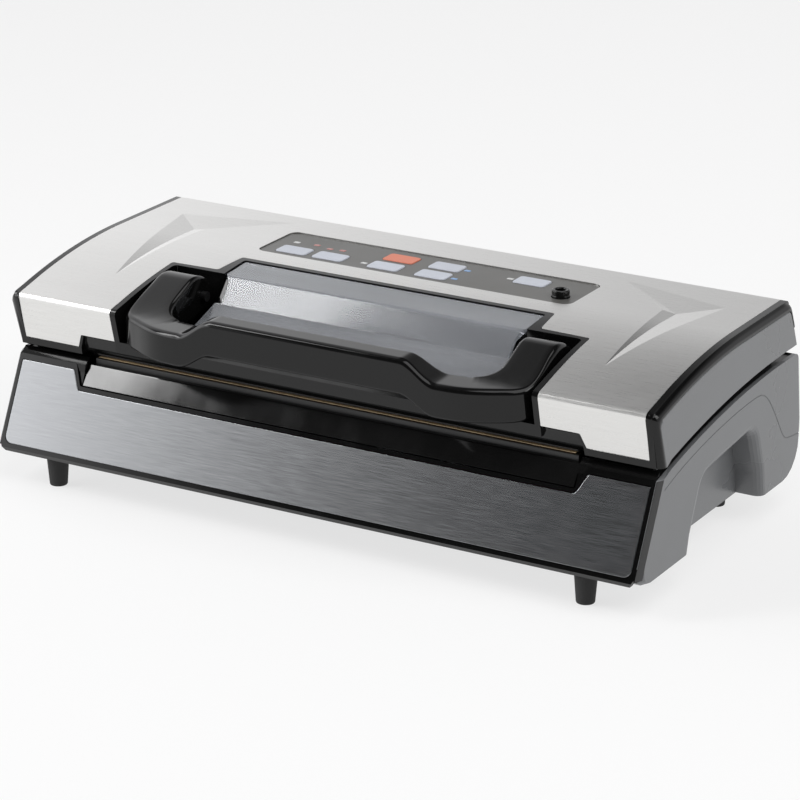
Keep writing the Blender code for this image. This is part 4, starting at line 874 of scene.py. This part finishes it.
def build_lid():
    under_steel = [(LID_FRONT_FOOT[0] + 0.95, LID_FRONT_FOOT[1] - 5.0),
                   (CREASE[0] + 0.95, CREASE[1] - 1.0)] + crown(0.95, -78.0, 86.2, 50)
    under_steel = fillet(under_steel + [(86.2, 150.0), (-130.0, 150.0), (-130.0, 72.4)],
                         [0.0, 3.0] + [0.0] * 53, 6)
    rim = mesh_object("rim", prism(lid_outline(), -INSIDE, INSIDE))
    plan = fillet(mirrored([(139.7, -130.0), (137.4, -21.8), (106.2, -20.8), (103.4, 1.5)]),
                  [0.0, 1.6, 2.0, 1.6, 1.6, 2.0, 1.6, 0.0], 8)
    carve(rim, "INTERSECT", prism(plan, 84.0, 160.0, "Z"))
    carve(rim, "DIFFERENCE", well_cut(), bay_cut())
    soften(rim, 0.75, 4, 40.0)
    shell = mesh_object("lid_body", prism(lid_outline(), -INSIDE, INSIDE))
    pocket = mesh_object("pocket", prism(under_steel, -STEEL_HALF - 0.15, STEEL_HALF + 0.15))
    carve(pocket, "DIFFERENCE", prism(mirrored(FRONT_STEP), -140.0, -20.0, "Y"))
    top = crown(3.4, -78.0, 84.0, 24)
    hollow = [(-74.0, 60.0), (lid_front_y(104.0) + 3.8, 104.0)] + top
    hollow += [(86.6, top[-1][1]), (93.5, 98.0), (93.8, 60.0)]
    cavity = mesh_object("cavity", prism(hollow, -INSIDE + WALL, INSIDE - WALL))
    carve(cavity, "DIFFERENCE", prism(well_plan(WALL), WELL_FLOOR - WALL, 150.0, "Z"),
          prism(bay_plan(WALL), BAY_FLOOR - WALL, 150.0, "Z"),
          box((-166.6, 166.6), (-95.0, -65.3), (50.0, 93.0)))
    carve(shell, "DIFFERENCE", reopen(pocket), well_cut(), bay_cut(), reopen(cavity), lip_body(),
          box((-167.7, 167.7), (-72.8, -50.0), (50.0, 80.0)))
    carve(shell, "UNION", reopen(rim))
    cuts = [prism(panel_outline(), 122.8, 150.0, "Z"), box((-94.0, 94.0), (-66.0, -8.0), (80.0, 96.0)),
            box((-99.5, 99.5), (20.9, 55.9), (100.0, 150.0)),
            rod(3.5, -140.0, -130.0, HANDLE_AXIS, "X", 24),
            rod(3.5, 130.0, 140.0, HANDLE_AXIS, "X", 24)]
    for sign in (-1, 1):
        outline = [(sign * (FACET_APEX[0] + (x - FACET_APEX[0]) * 1.04),
                    FACET_APEX[1] + (y - FACET_APEX[1]) * 1.04) for x, y in FACET_OUTLINE]
        cuts.append(prism(outline, 100.0, 150.0, "Z"))
        notch = sorted((sign * 143.9, sign * 150.3))
        cuts.append(box(notch, (88.0, 100.0), (90.0, 100.2)))
    carve(shell, "DIFFERENCE", *cuts)
    piece(shell, "lid", BLACK_GLOSS, ("lid_shell",), 30.0)


def cheek_ring(x, inset):
    """Outline of the grey side cover at one X."""
    upper = band_path(BAND_DROP, 0.75 + inset)
    upper[0] = (LID_FRONT_FOOT[0] + BAND_DROP + inset + 1.0, LID_FRONT_FOOT[1] + 0.2)
    upper.append((96.4 - inset, lid_low(96.4) + 0.2 + inset))
    lower = [(y, lid_low(y) + inset) for y in spread(88.0, -66.0, 40)]
    return side_ring(upper + lower, x)


def build_lid_sides():
    """Rounded black band and grey cover on each side of the lid."""
    for side, sign in (("left", -1), ("right", 1)):
        rings = []
        for step in range(11):
            turn = math.radians(90.0 * step / 10)
            x = SIDE - BAND + (BAND - 0.05) * math.sin(turn)
            drop = BAND_DROP * (1.0 - math.cos(turn))
            path = band_path(drop, 0.0) + band_path(BAND_DROP, 0.5)[::-1]
            rings.append(side_ring(path, sign * x))
        band = mesh_object(f"lid_band_{side}", loft(rings))
        piece(band, "lid", BLACK_GLOSS, (), 50.0)

        rings = [cheek_ring(sign * (SIDE - 2.9), 0.0), cheek_ring(sign * (SIDE - 0.9), 0.0),
                 cheek_ring(sign * (SIDE - 0.3), 0.25), cheek_ring(sign * (SIDE - 0.02), 0.8)]
        cheek = mesh_object(f"lid_side_{side}", loft(rings))
        piece(cheek, "lid", GREY, (f"lid_cheek_{side}",), 40.0)


# Window -----------------------------------------------------------------------------------

def build_window():
    rear_z = lid_top(-2.6) - 0.7
    upper = [(-2.6, rear_z), (-24.6, 121.9), (-36.6, 108.1), (-67.0, 98.0)]
    lower = [(-66.4, 95.9), (-35.3, 106.2), (-23.6, 119.7), (-2.6, rear_z - 2.2)]
    sheet = mesh_object("window_sheet",
                        prism(fillet(upper + lower, [0.3, 2.6, 1.0, 0.4, 0.0, 3.0, 0.6, 0.0], 8),
                              -WINDOW_HALF, WINDOW_HALF))
    for sign in (-1, 1):
        wedge = [(sign * 104.0, -22.6), (sign * (WINDOW_HALF + 0.4), -22.6), (sign * 94.8, -27.4),
                 (sign * 94.4, -36.3), (sign * 104.0, -36.3)]
        carve(sheet, "DIFFERENCE", prism(wedge, 107.6, 130.0, "Z"))
    soften(sheet, 0.4, 2, 40.0)
    piece(sheet, "lid", WINDOW, ("viewing_window",), 30.0)


# Front of the base ------------------------------------------------------------------------

def slope(z):
    """Height along the leaning plane for a height above the table."""
    return (z - FRONT_LOW) / math.cos(math.atan(LEAN))


def lean(builder):
    """Stand a plate drawn in (x, slope height) onto the leaning front plane."""
    rise = math.cos(math.atan(LEAN))
    run = math.sin(math.atan(LEAN))
    for corner in builder.verts:
        x, up, out = corner.co
        corner.co = Vector((x, BASE_FRONT * MM + up * run - out * rise,
                            FRONT_LOW * MM + up * rise + out * run))
    return builder


def build_front():
    steel = mirrored([(204.9, slope(23.6)), (205.1, slope(68.6)), (168.2, slope(68.6)),
                      (162.5, slope(58.1))])
    steel = fillet(steel, [4.9, 0.9, 1.0, 3.1, 3.1, 1.0, 0.9, 4.9], 8)
    panel = mesh_object("front_steel", lean(prism(steel, -0.8, 0.0, "Z")))
    soften(panel, 0.7, 3, 50.0)
    piece(panel, "base", DARK_STEEL, ("front_steel_panel",), 40.0)


def build_frame_edges():
    """Black chamfers that carry the front surround round the corners of the base."""
    section = [(207.2, 0.06), (207.8, 0.06), (209.98, 4.42), (209.98, 5.4), (207.2, 5.4)]
    for side, sign in (("left", -1), ("right", 1)):
        rings = [[(sign * x, front_y(z) + back, z) for x, back in section]
                 for z in spread(22.2, 71.4, 12)]
        edge = mesh_object(f"frame_edge_{side}", loft(rings))
        piece(edge, "base", RAMP_GLOSS, (), 30.0)


# Control panel details --------------------------------------------------------------------

def build_marks():
    """Small flat lamps beside the keys."""
    lamps = {"lamp_pulse": (-36.5, 28.4, LAMP_WHITE), "lamp_canister": (51.8, 44.9, LAMP_WHITE),
             "lamp_food_wet": (-91.8, 43.3, LAMP_WHITE), "lamp_food": (-78.4, 44.4, LAMP_RED),
             "lamp_time_low": (-68.0, 41.8, LAMP_RED), "lamp_time_high": (-59.7, 42.8, LAMP_RED),
             "lamp_vacuum": (23.1, 45.7, LAMP_BLUE), "lamp_seal": (23.8, 28.6, LAMP_BLUE)}
    for name, (x, y, look) in lamps.items():
        outline = fillet(rectangle(x - 2.0, x + 2.0, y - 1.4, y + 1.4), 0.6, 4)
        rings = [[(a, b, 124.3) for a, b in outline], [(a, b, 124.66) for a, b in outline],
                 [(x + (a - x) * 0.86, y + (b - y) * 0.82, 124.74) for a, b in outline]]
        piece(mesh_object(name, loft(rings)), "lid", look, (), 40.0)


def build_port():
    profile = fillet([(3.0, 108.0), (5.2, 108.0), (5.2, 125.6), (5.0, 126.0), (5.2, 126.4),
                      (5.2, 128.98), (3.0, 128.98)], [0.0, 0.0, 0.1, 0.15, 0.1, 0.7, 0.8], 4)
    port = mesh_object("port_nozzle", lathe(profile, (92.0, 30.5), 56))
    piece(port, "lid", BLACK_GLOSS, ("accessory_port",), 35.0)


build_handle()
build_steel_cover()
build_lid()
build_lid_sides()
build_window()
build_front()
build_frame_edges()
build_marks()
build_port()
